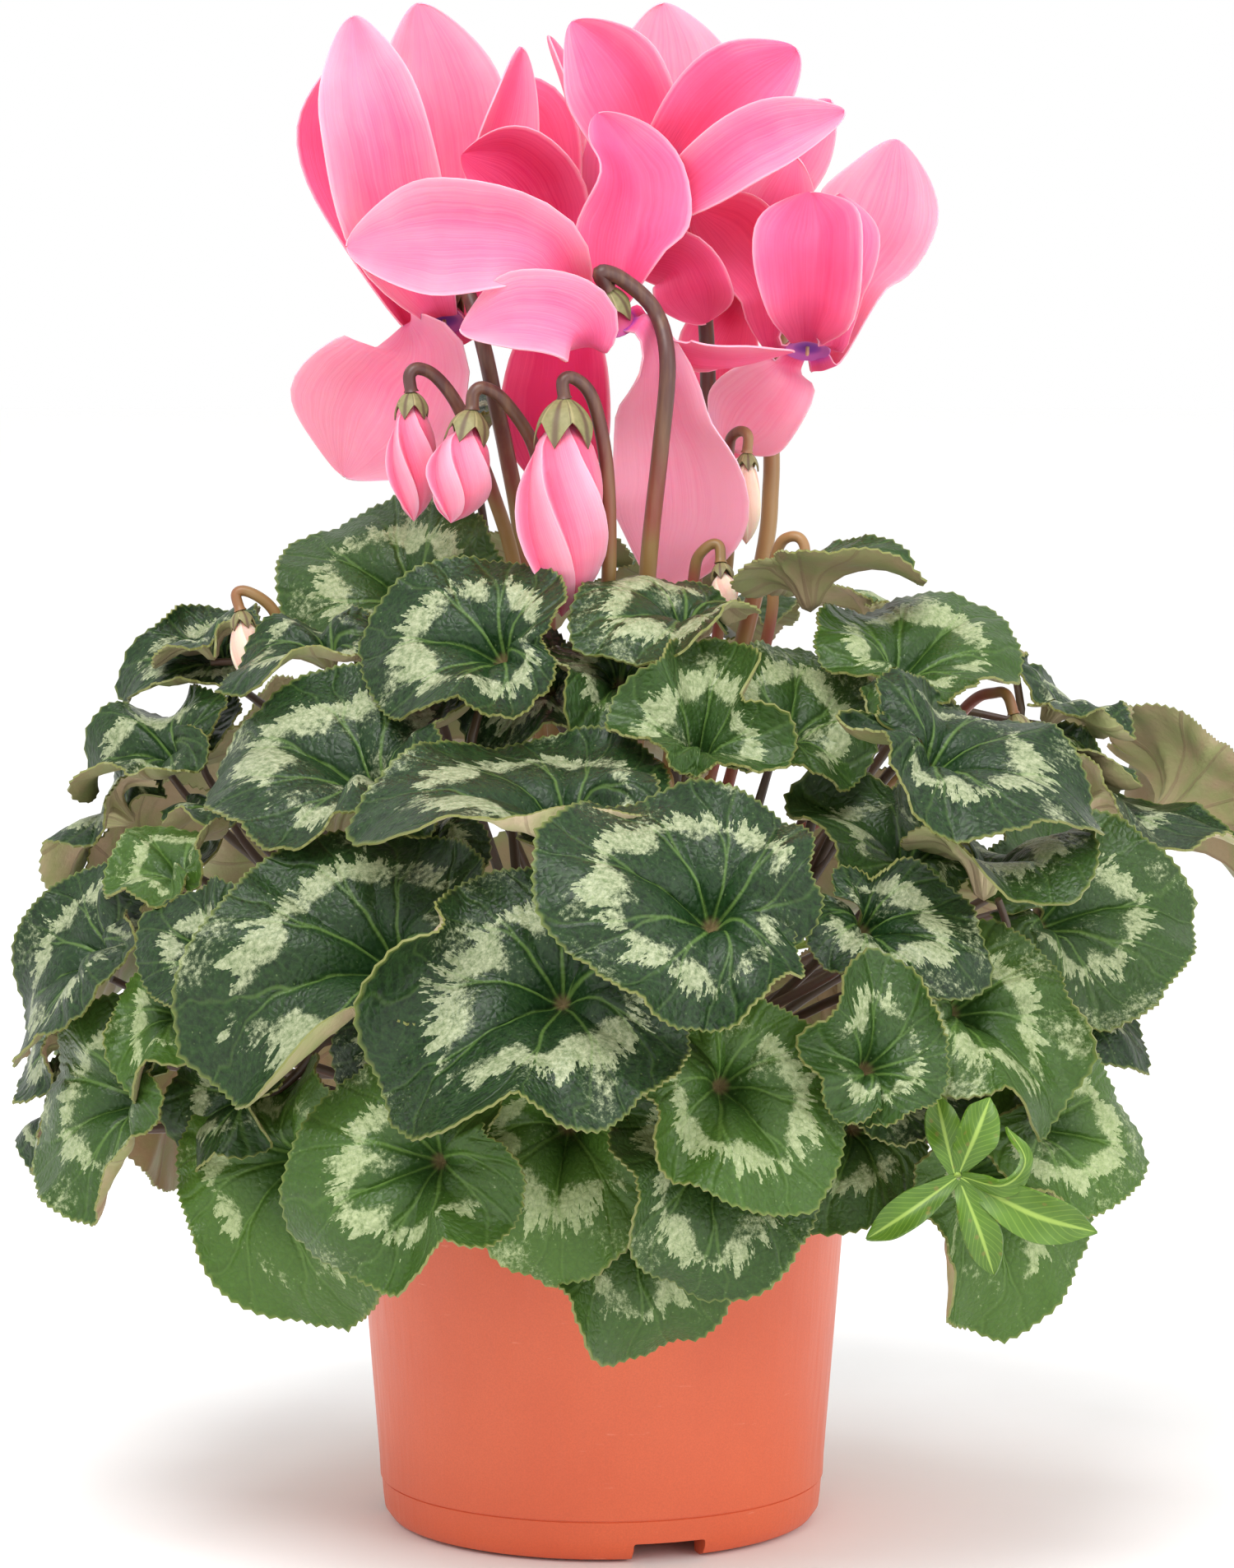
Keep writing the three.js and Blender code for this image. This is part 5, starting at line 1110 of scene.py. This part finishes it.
petal_skin = petal_finish("cyclamen_petal", "#fbcbd8", "#f19ab1", "#eb5d8b", "#c11e5a", "#9c34c4")
bud_skin = petal_finish("cyclamen_bud_petal", "#f9c4d0", "#f3a6bb", "#ea6789", "#cb315c", "#d4608a")
pale_skin = petal_finish("cyclamen_young_bud_petal", "#f3e6d4", "#eddcc6", "#e3b9a8", "#cf9382", "#b8a078")

tube_skin, tree, shader = new_material("cyclamen_flower_tube", Roughness=0.5)
u, _, _ = apart(tree, attribute(tree, "petal_place"))
violet = blend(tree, smooth_ramp(tree, u, 0.35, 0.75), "#c93a66", "#b557a8")
colour(tree, shader, layered(tree, violet, (smooth_ramp(tree, u, 0.84, 0.95), "#74309a")))

sepal_skin, tree, shader = new_material("cyclamen_sepal", Roughness=0.55)
_, v, _ = apart(tree, attribute(tree, "petal_place"))
across = calc(tree, "ABSOLUTE", v)
grain = noise(tree, object_place(tree), 700.0, 3.0)
sepal = layered(
    tree,
    blend(tree, grain, "#6b683c", "#979064"),
    (smooth_ramp(tree, across, 0.05, 0.35, 0.85, 0.0), "#5a4334"),
    (ramp(tree, across, 0.8, 1.0, 0.0, 0.6), "#b5a678"),
)
colour(tree, shader, sepal)

flower_stalk, tree, shader = new_material("cyclamen_flower_stalk_skin", Roughness=0.42)
where = object_place(tree)
x, _, height = apart(tree, where)
each = ramp(tree, noise(tree, where, 45.0, 0.0), 0.42, 0.58)
streak = streaks(tree, where, (420.0, 420.0, 60.0), 3.0)
right = ramp(tree, x, 0.033, 0.038, 0.0, 0.75)
raised = ramp(tree, height, 0.235, 0.245)
skin = layered(
    tree,
    blend(tree, each, "#8a4034", "#86683a"),
    (smooth_ramp(tree, height, 0.25, 0.30), "#50302c"),
    (ramp(tree, streak, 0.45, 0.75, 0.0, 0.4), "#8f6c4a"),
    (calc(tree, "MULTIPLY", right, raised), "#a98355"),
)
colour(tree, shader, skin)

green_bud_skin, tree, shader = new_material("cyclamen_green_bud", Roughness=0.5)
grain = noise(tree, object_place(tree), 500.0, 3.0)
colour(tree, shader, blend(tree, grain, "#76804a", "#a89a78"))

# %% [markdown]
# ## Petals
#
# The five petals leave the mouth evenly round its rim and then follow the rows they're seen in. A petal
# is a grid that is hollowed a little along its middle, rounded off at its tip, curled up along one edge
# and waved along its length, so the light runs over it unevenly as it does over a real one.

# %% Petal rows and petal surface
def petal_roots(petals, mouth, axis):
    right = unit(X - axis * axis[0])
    front = np.cross(axis, right)
    fifth = 2 * math.pi / len(petals)
    outs = [seen_at(*petal[0][:3]) - mouth for petal in petals]
    seen = [math.atan2(out @ front, out @ right) for out in outs]
    order = sorted(range(len(petals)), key=lambda k: seen[k])
    turn = sum(seen[k] - fifth * place for place, k in enumerate(order)) / len(petals)
    angles = [0.5 * (turn + fifth * order.index(k)) + 0.5 * seen[k] for k in range(len(petals))]
    return [right * math.cos(a) + front * math.sin(a) for a in angles]


def across_at(points, i, turn):
    """The direction across a petal at one of its points: it faces the viewer before it's turned."""
    direction = unit(points[min(i + 1, len(points) - 1)] - points[max(i - 1, 0)])
    front = unit(EYE - points[i])
    front = unit(front - direction * (front @ direction))
    return turned(np.cross(front, direction), direction, turn)


def petal_rows(petal, mouth, axis, outward):
    points = [mouth + outward * 4.6 - axis * 0.9, mouth + outward * (TUBE_MOUTH + 3.2) + axis * 0.8]
    points += [seen_at(*row[:3]) for row in petal]
    across = [across_at(points, k + 2, row[4]) for k, row in enumerate(petal)]
    tangent = np.cross(axis, outward)
    if tangent @ across[0] < 0:
        tangent = -tangent
    halves = [2.8, 4.8] + [row[3] for row in petal]
    sides = [tangent, tangent, *across]
    return np.array([[*p, half, *side] for p, half, side in zip(points, halves, sides)])


def petal_surface(rows, wave, u, v):
    here = along(rows, u)
    direction = along(rows, np.minimum(1, u + 0.02))[:, :3] - along(rows, np.maximum(0, u - 0.02))[:, :3]
    direction /= np.linalg.norm(direction, axis=1)[:, None]
    across = here[:, 4:] - direction * np.sum(here[:, 4:] * direction, axis=1)[:, None]
    across /= np.linalg.norm(across, axis=1)[:, None]
    off = np.cross(direction, across)
    tip_round = np.maximum(0.0004, 1 - (np.maximum(0, u - 0.74) / 0.26) ** 2.1) ** 0.56
    broad = 1 + wave["broad"] * smooth_step(u, 0.45, 0.85)
    half = here[:, 3] * tip_round * broad
    arch = np.sin(np.pi * u)
    ripple = wave["size"] * np.sin(wave["count"] * u + wave["phase"] * v) * v * v * arch
    ripple += wave["frill"] * v**4 * np.sin(17 * u + wave["phase"] * 3 + v) * np.minimum(1, 3 * u)
    curl = wave["curl"] * smooth_step(v * wave["hand"], 0.25, 1.1) * smooth_step(u, 0.1, 0.5)
    hollow = half * (0.28 * np.abs(v) ** 1.4 * arch + curl) + ripple
    return here[:, :3] + across * (half * v)[:, None] + off * hollow[:, None]


def lay_strip(name, rows, wave, shares, columns, tone, thickness, skin):
    """Lays a petal, or any strip with rows like a petal's."""

    def marks(u, v):
        return {"petal_place": np.column_stack([u, v, np.full(len(u), tone)])}

    strip = lay_grid(name, shares, columns, lambda u, v: petal_surface(rows, wave, u, v), marks)
    give_thickness(strip, thickness, [skin] * 3)
    return strip


def lay_petal(rows, seed, tone, curl):
    wave = dict(
        size=between(seed, 20, 0.3, 1.2),
        count=between(seed, 21, 5, 9),
        phase=between(seed, 22, 1, 3),
        hand=1 if between(seed, 24, 0, 1) > 0.5 else -1,
        frill=0.6,
        broad=0.12,
        curl=curl,
    )
    return lay_strip("petal", rows, wave, PETAL_SHARES, 18, tone, PETAL_THICKNESS, petal_skin)


# %% [markdown]
# ## Tube, bud and sepals
#
# These are all round about the flower's own axis, so each is a grid that is closed round it. The bud's
# five petals are rolled up: going round it, its radius steps at each petal's free edge and eases back
# before the next, and the edges wind down to the tip. The sepals are one cap that runs out in five points.

# %% Shapes about an axis
def axis_frame(axis):
    """Two directions across an axis, as a turn from straight up gives them."""
    turn = Vector((0, 0, 1)).rotation_difference(Vector(axis))
    return np.array(turn @ Vector((1, 0, 0))), np.array(turn @ Vector((0, 1, 0)))


def lay_round(name, place, axis, shares, sides, radius_and_height, materials, mark, thickness=0):
    """Lays a grid round an axis: radius_and_height gives both in mm for each share and angle."""
    right, front = axis_frame(axis)

    def place_at(u, v):
        a = v * math.pi
        r, h, a = radius_and_height(u, a)
        round_it = right * np.cos(a)[:, None] + front * np.sin(a)[:, None]
        return place + round_it * r[:, None] + axis * h[:, None]

    piece = lay_grid(name, shares, sides, place_at, lambda u, v: {"petal_place": mark(u, v * math.pi)})
    weld()
    if thickness:
        give_thickness(piece, thickness, materials)
    else:
        piece.data.materials.append(materials[0])
    return piece


def row_of(values):
    """Turns rows of numbers into a rule that gives each column at a share from 0 to 1."""
    values = np.array(values, float)
    shares = np.linspace(0, 1, len(values))
    return lambda u: [np.interp(u, shares, values[:, c]) for c in range(values.shape[1])]


TUBE_PROFILE = [
    [0, 1.7], [1.6, 3.2], [2.3, 5.4], [3.2, 6.8], [4.2, 8.1], [5.3, 9.6],
    [6.0, 10.9], [5.7, 11.3], [4.6, 10.9], [3.2, 10.4], [0, 10.1],
]
BUD_PROFILE = [[0.6], [0.74], [0.87], [0.96], [1.0], [0.99], [0.9], [0.72], [0.45], [0.0]]


def lay_flower_tube(place, axis):
    """The tube, which closes a little below its mouth, and the style that stands out of it."""
    profile = row_of(TUBE_PROFILE)
    shares = np.linspace(0, 1, len(TUBE_PROFILE))

    def mark(u, a):
        return np.column_stack([u, a, 0 * u])

    tube = lay_round("tube", place, axis, shares, 24, lambda u, a: [*profile(u), a], [tube_skin], mark)
    style = [place + axis * h for h in (9.9, 11.0, 12.0, 12.6)]
    return [tube, lay_tube("style", style, [0.5, 0.5, 0.55, 0.3], 8, pale_skin)]


def lay_bud(head, length, scale):
    """A bud's rolled petals; a pink one is ridged, and smaller ones are nearly smooth."""
    ridged, green = head["colour"] == "petal", head["colour"] == "green"
    skin = {"petal": bud_skin, "pale": pale_skin, "green": green_bud_skin}[head["colour"]]
    start, cap_end = 0.2 if green else 1.7, 10 * scale + 1
    ridge, winding, rows, sides = (0.32, -1.7, 36, 70) if ridged else (0.14, -0.8, 18, 40)
    profile = row_of(BUD_PROFILE)

    def round_petal(a):
        """How far round its petal an angle lies, from 0 to 1."""
        return (5 * (a / (2 * math.pi) + 0.5) + 0.001) % 1

    def radius_and_height(u, a):
        h = start + (length - start) * u
        share = np.clip((h - 0.5 * cap_end) / (length - 0.5 * cap_end), 0, 1)
        neck = smooth_step(h, start - 1.5, 0.8 * cap_end)
        fold = ridge * ((1 - round_petal(a)) ** 2.2 - 0.32) * smooth_step(h, 0.4 * cap_end, 1.6 * cap_end)
        r = head["radius"] * profile(share)[0] * neck * (1 + fold)
        return np.where((u == 0) | (u == 1), 0, r), h, a + winding * share

    def mark(u, a):
        petal = round_petal(a)
        return np.column_stack([0.3 + 0.5 * u, 2 * petal - 1, 0.1 + 0.75 * petal**3])

    shares = 1 - (1 - np.linspace(0, 1, rows)) ** 1.15
    return lay_round("bud", head["place"], head["axis"], shares, sides, radius_and_height, [skin], mark)


def lay_calyx(head, scale):
    def radius_and_height(u, a):
        fifth = 5 * a / (2 * math.pi)
        point = 1 - 2 * np.abs(fifth - np.rint(fifth))  # 1 in the middle of a sepal, 0 between two
        edge = (4.2 + 4.6 * point**1.3) * scale
        h = -0.4 * scale + (edge + 0.4 * scale) * u
        r = 4.9 * scale * (1 - (1 - np.clip(h / (7 * scale), 0, 1)) ** 2.2) ** 0.6
        r += scale * (0.3 * u * (1 - point) + 0.35 * point * smooth_step(u, 0.75, 1))
        return np.where(u == 0, 0, r), h, a

    def mark(u, a):
        fifth = 5 * a / (2 * math.pi)
        return np.column_stack([u, 2 * (fifth - np.rint(fifth)), 0 * u])

    shares = np.linspace(0, 1, 9)
    place, axis, skins = head["place"], head["axis"], [sepal_skin] * 3
    return lay_round("calyx", place, axis, shares, 50, radius_and_height, skins, mark, 0.35)


# %% [markdown]
# ## Stalks
#
# A flower stalk springs from the crown of the corm, rises between the leaves and bends over to carry its
# calyx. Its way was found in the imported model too, so it is read from the solid there: the plain stalk
# is a rod of rings with three corners each, and the middle of each ring is a point of its path.

# %% Follow a packed stalk
def ring_path(node):
    """The middles in mm of a packed rod's rings of three corners, from its lowest end up."""
    shape = bmesh.new()
    shape.from_mesh(nodes[node].data)
    bmesh.ops.remove_doubles(shape, verts=shape.verts, dist=MERGE)
    ring = sorted(shape.verts, key=lambda v: v.co.z)[:3]
    done, path = set(ring), []
    while len(ring) == 3:
        path.append(np.mean([v.co for v in ring], axis=0) * 1000)
        beyond = {edge.other_vert(v) for v in ring for edge in v.link_edges} - done
        done |= beyond
        ring = list(beyond)
    shape.free()
    return path


STALK_RINGS = 11  # rings of a packed flower stalk before its calyx
STALK_RADII = dict(flower=2.2, bud=1.85, small_bud=1.55)


def lay_stalk(path, radius):
    t = np.linspace(0, 1, 6 * len(path))
    swell = 1 + 0.12 * smooth_step(t, 0.1, 0) - 0.12 * smooth_step(t, 0.3, 0.9)
    swell += 0.2 * smooth_step(t, 0.985, 1)
    return lay_tube("stalk", along(path, t), radius * swell, 10, flower_stalk)


def lay_head(head, number):
    """Lays a flower or a bud over its two solids, or its one solid when it's green."""
    name, petals, bud = head["name"], head.get("petals"), head.get("colour")
    place = head["place"] = seen_at(*head["calyx"])
    end = seen_at(*head["mouth" if petals else "tip"])
    axis = head["axis"] = unit(end - place)
    scale = 1 if petals else max(0.55, head["radius"] / 7)
    stalk_node = name if bud == "green" else name + "_stalk"
    path = ring_path(stalk_node)[:STALK_RINGS]
    radius = STALK_RADII["flower" if petals else "bud" if scale > 0.75 else "small_bud"]
    cap = [lay_stalk([*path, place + axis * 0.1], radius), lay_calyx(head, scale)]
    if petals:
        mouth = place + axis * TUBE_LENGTH
        outward = petal_roots(petals, mouth, axis)
        rows = [petal_rows(petal, mouth, axis, outward[k]) for k, petal in enumerate(petals)]
        body = [lay_petal(row, 10 * number + k, *head["looks"][k]) for k, row in enumerate(rows)]
        body += lay_flower_tube(place, axis)
    else:
        body = [lay_bud(head, np.linalg.norm(end - place), scale)]
    if bud == "green":
        finish_piece(join("green_" + name, cap + body), name)
    else:
        finish_piece(join("petals_" + name, body), name + "_petals", 60)
        finish_piece(join("stalk_" + name, cap), stalk_node)


for number, head in enumerate(BLOOMS + BUDS):
    lay_head(head, number)
print("flowers and buds laid:", len(BLOOMS), "and", len(BUDS))

# %% [markdown]
# ## The seedling
#
# Another plant's seedling grows from the compost, with narrow bright green leaves over the pot's rim. Its
# leaves are laid like petals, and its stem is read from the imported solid.

# %% Seedling rows and finish
WEED_LEAVES = [
    [[1162, 1432, 118, 1.4, 0], [1104, 1474, 121, 4.4, 15], [1055, 1505, 118, 1.2, 0]],
    [[1166, 1434, 118, 1.4, 0], [1190, 1496, 121, 4.4, -15], [1208, 1549, 117, 1.2, 0]],
    [[1168, 1432, 118, 1.4, 0], [1256, 1476, 122, 6, 10], [1331, 1497, 118, 1.4, 0]],
    [[1160, 1426, 118, 1.4, 0], [1148, 1376, 118, 4.2, 0], [1138, 1331, 114, 1.2, 0]],
    [[1167, 1424, 118, 1.4, 0], [1186, 1378, 120, 5.4, 20], [1203, 1336, 116, 1.4, 0]],
    [
        [1170, 1430, 118, 1.2, 30], [1218, 1440, 123, 3, 40],
        [1244, 1412, 122, 2.6, 50], [1222, 1371, 117, 1, 40],
    ],
]
WEED_HEAD = [1164, 1430, 118]

weed_skin, tree, shader = new_material("seedling_leaf", Roughness=0.42, IOR=1.45)
u, v, _ = apart(tree, attribute(tree, "petal_place"))
where = object_place(tree)
across = calc(tree, "ABSOLUTE", v)
side = calc(tree, "MULTIPLY_ADD", u, 12.0, calc(tree, "MULTIPLY", across, -3.0))
side = calc(tree, "PINGPONG", side, 0.5)
cloud = noise(tree, where, 120.0, 4.0)
speck = add(tree, "TexVoronoi", {"Vector": where, "Scale": 260.0}, feature="F1")
weed_green = layered(
    tree,
    blend(tree, cloud, "#2f4d0e", "#628826"),
    (ramp(tree, side, 0.0, 0.14, 0.35, 0.0), "#88a440"),
    (smooth_ramp(tree, across, 0.04, 0.16, 0.8, 0.0), "#9ab452"),
    (ramp(tree, speck, 0.1, 0.2, 0.35, 0.0), "#8a6a3c"),
)
colour(tree, shader, weed_green)
relief(tree, shader, cloud, 0.5, 0.0005)


# %% Lay the seedling
def weed_rows(table, shift):
    points = [seen_at(*row[:3]) + shift for row in table]
    sides = [across_at(points, k, row[4]) for k, row in enumerate(table)]
    return np.array([[*p, row[3], *side] for p, row, side in zip(points, table, sides)])


def find_weed_shift():
    """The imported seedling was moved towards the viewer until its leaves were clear: find how far."""
    corners = corners_of("weed")
    away = unit(EYE - seen_at(*WEED_HEAD))
    calm = dict(size=0, count=0, phase=0, frill=0, broad=0, curl=0, hand=1)
    steps, misses = range(0, 50, 2), []
    for step in steps:
        rows = [weed_rows(table, away * step) for table in WEED_LEAVES]
        tips = [petal_surface(row, calm, np.ones(1), np.zeros(1))[0] for row in rows]
        misses.append(sum(np.linalg.norm(corners - tip, axis=1).min() for tip in tips))
    best = steps[int(np.argmin(misses))]
    print("seedling step", best, "mm, miss", round(min(misses), 2))
    return away * best


def lay_weed():
    shift = find_weed_shift()
    shares = np.linspace(0, 1, 24)
    wave = dict(size=0.5, frill=0.35, broad=0.1, curl=0.3, hand=1)
    parts = []
    for number, table in enumerate(WEED_LEAVES):
        own = dict(wave, count=7 + number, phase=1.0 + 0.3 * number)
        rows = weed_rows(table, shift)
        parts.append(lay_strip("leaf", rows, own, shares, 10, 0, BLADE_THICKNESS, weed_skin))
    head = seen_at(*WEED_HEAD) + shift
    path = [p for p in ring_path("weed") if np.linalg.norm(p - head) > 6] + [head]
    t = np.linspace(0, 1, 60)
    parts.append(lay_tube("stem", along(path, t), 1.15 - 0.2 * t, 10, weed_skin))
    finish_piece(join("seedling", parts), "weed")


lay_weed()

# %% [markdown]
# ## The pot
#
# The pot is injection moulded: a thin wall that widens upwards to a thicker rim, a faint line near the
# foot where a second pot would stop when stacked, a raised floor on a ring foot with three notches, and
# drain holes. Its half profile is drawn as a chain of corners, and Spin turns it round. Boxes with
# bevelled edges and drills then cut the notches and the drains with Boolean.

# %% Pot profile and spin
POT = dict(height=100, rim_radius=66, top_radius=64.5, foot_radius=56.4, wall=1.4, floor_z=5)
NOTCH_AZIMUTHS = [18, 138, 258]
NOTCH_BOX, DRAIN_RING = (0.019, 0.024, 0.010), 0.032  # in metres
SOIL_GAP = 0.9  # mm between the compost and the wall
CRUMBS = 150


def pot_radius(z):
    return POT["foot_radius"] + (POT["top_radius"] - POT["foot_radius"]) * z / POT["height"]


def inside_radius(z):
    return pot_radius(z) - POT["wall"]


def spin_profile(name, profile, steps):
    """Draws a half profile in mm from axis to axis and spins it into a closed body."""
    data = bpy.data.meshes.new(name)
    chain = [(i, i + 1) for i in range(len(profile) - 1)]
    data.from_pydata([(r / 1000, 0, z / 1000) for r, z in profile], chain, [])
    piece = bpy.data.objects.new(name, data)
    bpy.context.collection.objects.link(piece)
    pick(piece)
    edit_all((bpy.ops.mesh.spin, dict(steps=steps, angle=2 * math.pi, center=(0, 0, 0), axis=(0, 0, 1))))
    weld()
    return piece


def cut_with(piece, cutter):
    bpy.context.view_layer.objects.active = piece
    boolean = piece.modifiers.new("cut", "BOOLEAN")
    boolean.operation = "DIFFERENCE"
    boolean.solver = "EXACT"
    boolean.object = cutter
    bpy.ops.object.modifier_apply(modifier=boolean.name)
    bpy.data.objects.remove(cutter)


foot, rim, top = POT["foot_radius"], POT["rim_radius"], POT["height"]
pot_profile = [
    # the disc in the middle, the hollow round it and the ring foot
    (0, 0), (12, 0), (12, 5), (foot - 8.5, 5), (foot - 8, 0), (foot - 4.4, 0),
    (pot_radius(1) - 1.6, 0.9), (pot_radius(3) - 0.1, 3.2), (pot_radius(6), 6),
    # the stacking line
    (pot_radius(10.7), 10.7), (pot_radius(10.9) - 0.25, 10.9), (pot_radius(11.1) - 0.25, 11.1),
    (pot_radius(11.3) + 0.35, 11.3), (pot_radius(16) + 0.15, 16),
    # the wall, the rim and the inside
    (pot_radius(92), 92), (rim, 92.6), (rim, top - 0.6), (rim - 0.6, top), (rim - 2, top),
    (rim - 2.6, top - 0.6), (inside_radius(91), 91), (inside_radius(9.4), 9.4),
    (inside_radius(6.4) - 3, 6.4), (0, 6.4),
]
pot = spin_profile("pot_shell", pot_profile, 144)
for azimuth in NOTCH_AZIMUTHS:
    a = math.radians(azimuth - 90)
    middle = [foot * math.cos(a) / 1000, foot * math.sin(a) / 1000, 0]
    turn = (0, 0, a + math.pi / 2)
    bpy.ops.mesh.primitive_cube_add(size=1, location=middle, rotation=turn, scale=NOTCH_BOX)
    notch = bpy.context.object
    edit_all((bpy.ops.mesh.bevel, {"offset": 0.0008, "segments": 3}))
    cut_with(pot, notch)
    a += math.radians(60)
    drain_at = [DRAIN_RING * math.cos(a), DRAIN_RING * math.sin(a), POT["floor_z"] / 1000]
    bpy.ops.mesh.primitive_cylinder_add(vertices=32, radius=0.003, depth=0.012, location=drain_at)
    cut_with(pot, bpy.context.object)
print("pot:", len(pot.data.polygons), "faces, top radius", rim, "mm")

# %% [markdown]
# ## Terracotta-coloured plastic
#
# The real material is polypropylene with an orange-brown pigment, moulded in a fine-blasted mould. That
# gives a satin surface with a very fine grain, slightly lighter and darker clouds of pigment, faint
# vertical drag marks from the mould, and small scuffs. Grain of a third of a millimetre is drawn as fine
# as it can still show.

# %% Pot material
pot_plastic, tree, shader = new_material("polypropylene_terracotta_pigment", Roughness=0.4, IOR=1.49)
where = object_place(tree)
cloud = noise(tree, where, 28.0, 4.0)
grain = noise(tree, where, 2600.0, 2.0)
drag = streaks(tree, where, (700.0, 700.0, 14.0), 2.0)
scuff = streaks(tree, where, (60.0, 60.0, 420.0), 5.0, 0.7)
clay = layered(
    tree,
    blend(tree, cloud, "#ce5634", "#e36c43"),
    (ramp(tree, grain, 0.35, 0.65, 0.0, 0.3), "#bb5233"),
    (ramp(tree, scuff, 0.66, 0.72, 0.0, 0.35), "#e8957a"),
)
colour(tree, shader, clay)
tree.links.new(ramp(tree, drag, 0.3, 0.7, 0.34, 0.46), shader.inputs["Roughness"])
height = calc(tree, "MULTIPLY_ADD", drag, 0.8, calc(tree, "MULTIPLY", grain, 0.5))
relief(tree, shader, height, 0.18, 0.0003)
pot.data.materials.append(pot_plastic)
finish_piece(pot, "pot", 35)

# %% [markdown]
# ## Compost and corm
#
# The compost fills the pot to near its rim: peat and bark, dark and crumbly. Its body is spun like the
# pot, its top is pushed about by a few waves, and loose crumbs lie on it. The corm is a flattened
# ball with a rough corky skin; it stands half out of the compost.

# %% Compost and corm finishes
peat, tree, shader = new_material("peat_and_bark_compost", Roughness=0.95)
where = object_place(tree)
fibre = noise(tree, where, 380.0, 6.0, 0.7)
bits = add(tree, "TexVoronoi", {"Vector": where, "Scale": 420.0}, feature="F1")
earth = blend(tree, fibre, "#1d140e", "#5a3f2c")
earth = layered(tree, earth, (ramp(tree, bits, 0.1, 0.35, 0.5, 0.0), "#7a5c40"))
colour(tree, shader, earth)
relief(tree, shader, fibre, 0.9, 0.0015)

cork, tree, shader = new_material("corm_corky_skin", Roughness=0.85)
flake = noise(tree, object_place(tree), 160.0, 6.0, 0.7)
colour(tree, shader, blend(tree, flake, "#3d2a20", "#8c6a50"))
relief(tree, shader, flake, 0.8, 0.001)


# %% Compost, crumbs and corm
def corm_profile(clear):
    """The corm's half profile from its foot up, grown by a clearance."""
    radius, half = CORM["radius"] + clear, CORM["half_height"] + clear
    turns = np.linspace(np.pi, 0, 15)
    points = [(radius * math.sin(a), CORM["centre_z"] + half * math.cos(a)) for a in turns]
    return [(0, points[0][1]), *points[1:-1], (0, points[-1][1])]


soil_profile = [(0, 6.7), (inside_radius(6.7) - 4, 6.7)]
soil_profile += [(inside_radius(z) - SOIL_GAP, z) for z in (10.7, 30, 55, 75, 83)]
soil_profile += [(58, 84.6), (54, 85), (49, 85.6), (44, 86), (39, 85.8), (34, 85), (31.4, 84)]
soil_profile += [p for p in reversed(corm_profile(GAP)) if p[1] < 82.5]
soil = spin_profile("compost", soil_profile, 96)
soil.data.materials.append(peat)
for vertex in soil.data.vertices:
    x, y, z = (1000 * c for c in vertex.co)
    r = math.hypot(x, y)
    if z > 83.5 and 31.6 < r < 59:
        lump = math.sin(x * 0.31) * math.cos(y * 0.27) + 0.5 * math.sin(x * 0.11 + y * 0.4)
        lump += 0.5 * math.sin(x * 1.3 + 2 * math.sin(y * 0.9)) * math.cos(y * 1.1)
        vertex.co.z += 0.0009 * lump
crumbs = [soil]
bpy.ops.mesh.primitive_ico_sphere_add(subdivisions=1, radius=1)
crumb = bpy.context.object
crumb.data.materials.append(peat)
for k in range(CRUMBS):
    r, a = between(k, 41, 33, 56), between(k, 42, 0, 2 * math.pi)
    size = between(k, 43, 0.7, 2.2)
    copy = bpy.data.objects.new("crumb", crumb.data.copy())
    bpy.context.collection.objects.link(copy)
    points = np.array([v.co for v in copy.data.vertices])
    points *= [size * between(k, 44, 0.7, 1.5), size, size * between(k, 45, 0.4, 0.8)]
    points += [r * math.cos(a), r * math.sin(a), 85.6 + 0.2 * size]
    copy.data.vertices.foreach_set("co", (points / 1000).ravel())
    crumbs.append(copy)
bpy.data.objects.remove(crumb)
finish_piece(join("compost", crumbs), "soil", 30)

corm = spin_profile("corm_ball", corm_profile(0), 48)
for vertex in corm.data.vertices:
    x, y, z = (1000 * c for c in vertex.co)
    vertex.co *= 1 - 0.004 * (1 + math.sin(x * 0.6 + z) * math.cos(y * 0.5 - z * 0.7))
corm.data.materials.append(cork)
finish_piece(corm, "corm", 60)
print("compost and corm laid")

# %% [markdown]
# ## Floor and light
#
# The plant stands on a plain white floor under a soft overcast light: a white sky all round, a broad lamp
# high in front and a little to the left, and a weaker one at the right, so that blades facing up are
# brighter than the ones below them and the shadows stay open.

# %% Floor, sky and lamps
bpy.ops.mesh.primitive_plane_add(size=12, location=(0, 0, -0.0002))
floor = bpy.context.object
floor.name = "floor"
paper, tree, shader = new_material("white_paper_floor", Roughness=0.9)
fibre = noise(tree, object_place(tree), 60.0, 2.0)
colour(tree, shader, blend(tree, fibre, "#fcfcfb", "#fefefe"))
floor.data.materials.append(paper)

world = bpy.data.worlds.new("white_sky")
bpy.context.scene.world = world
world.use_nodes = True
sky = world.node_tree.nodes["Background"]
sky.inputs["Color"].default_value = (1, 1, 1, 1)
sky.inputs["Strength"].default_value = 1.0


def add_lamp(name, place, size, watts):
    lamp = bpy.data.lights.new(name, "AREA")
    lamp.size = size
    lamp.energy = watts
    holder = bpy.data.objects.new(name, lamp)
    holder.location = place
    aim = Vector((0, 0, 0.2)) - Vector(place)
    holder.rotation_euler = aim.to_track_quat("-Z", "Y").to_euler()
    bpy.context.collection.objects.link(holder)


add_lamp("lamp_high_front", (-0.4, -1.45, 2.1), 1.4, 47)
add_lamp("lamp_right", (1.5, -1.3, 0.7), 1.2, 11)
bpy.context.scene.view_settings.view_transform = "Standard"
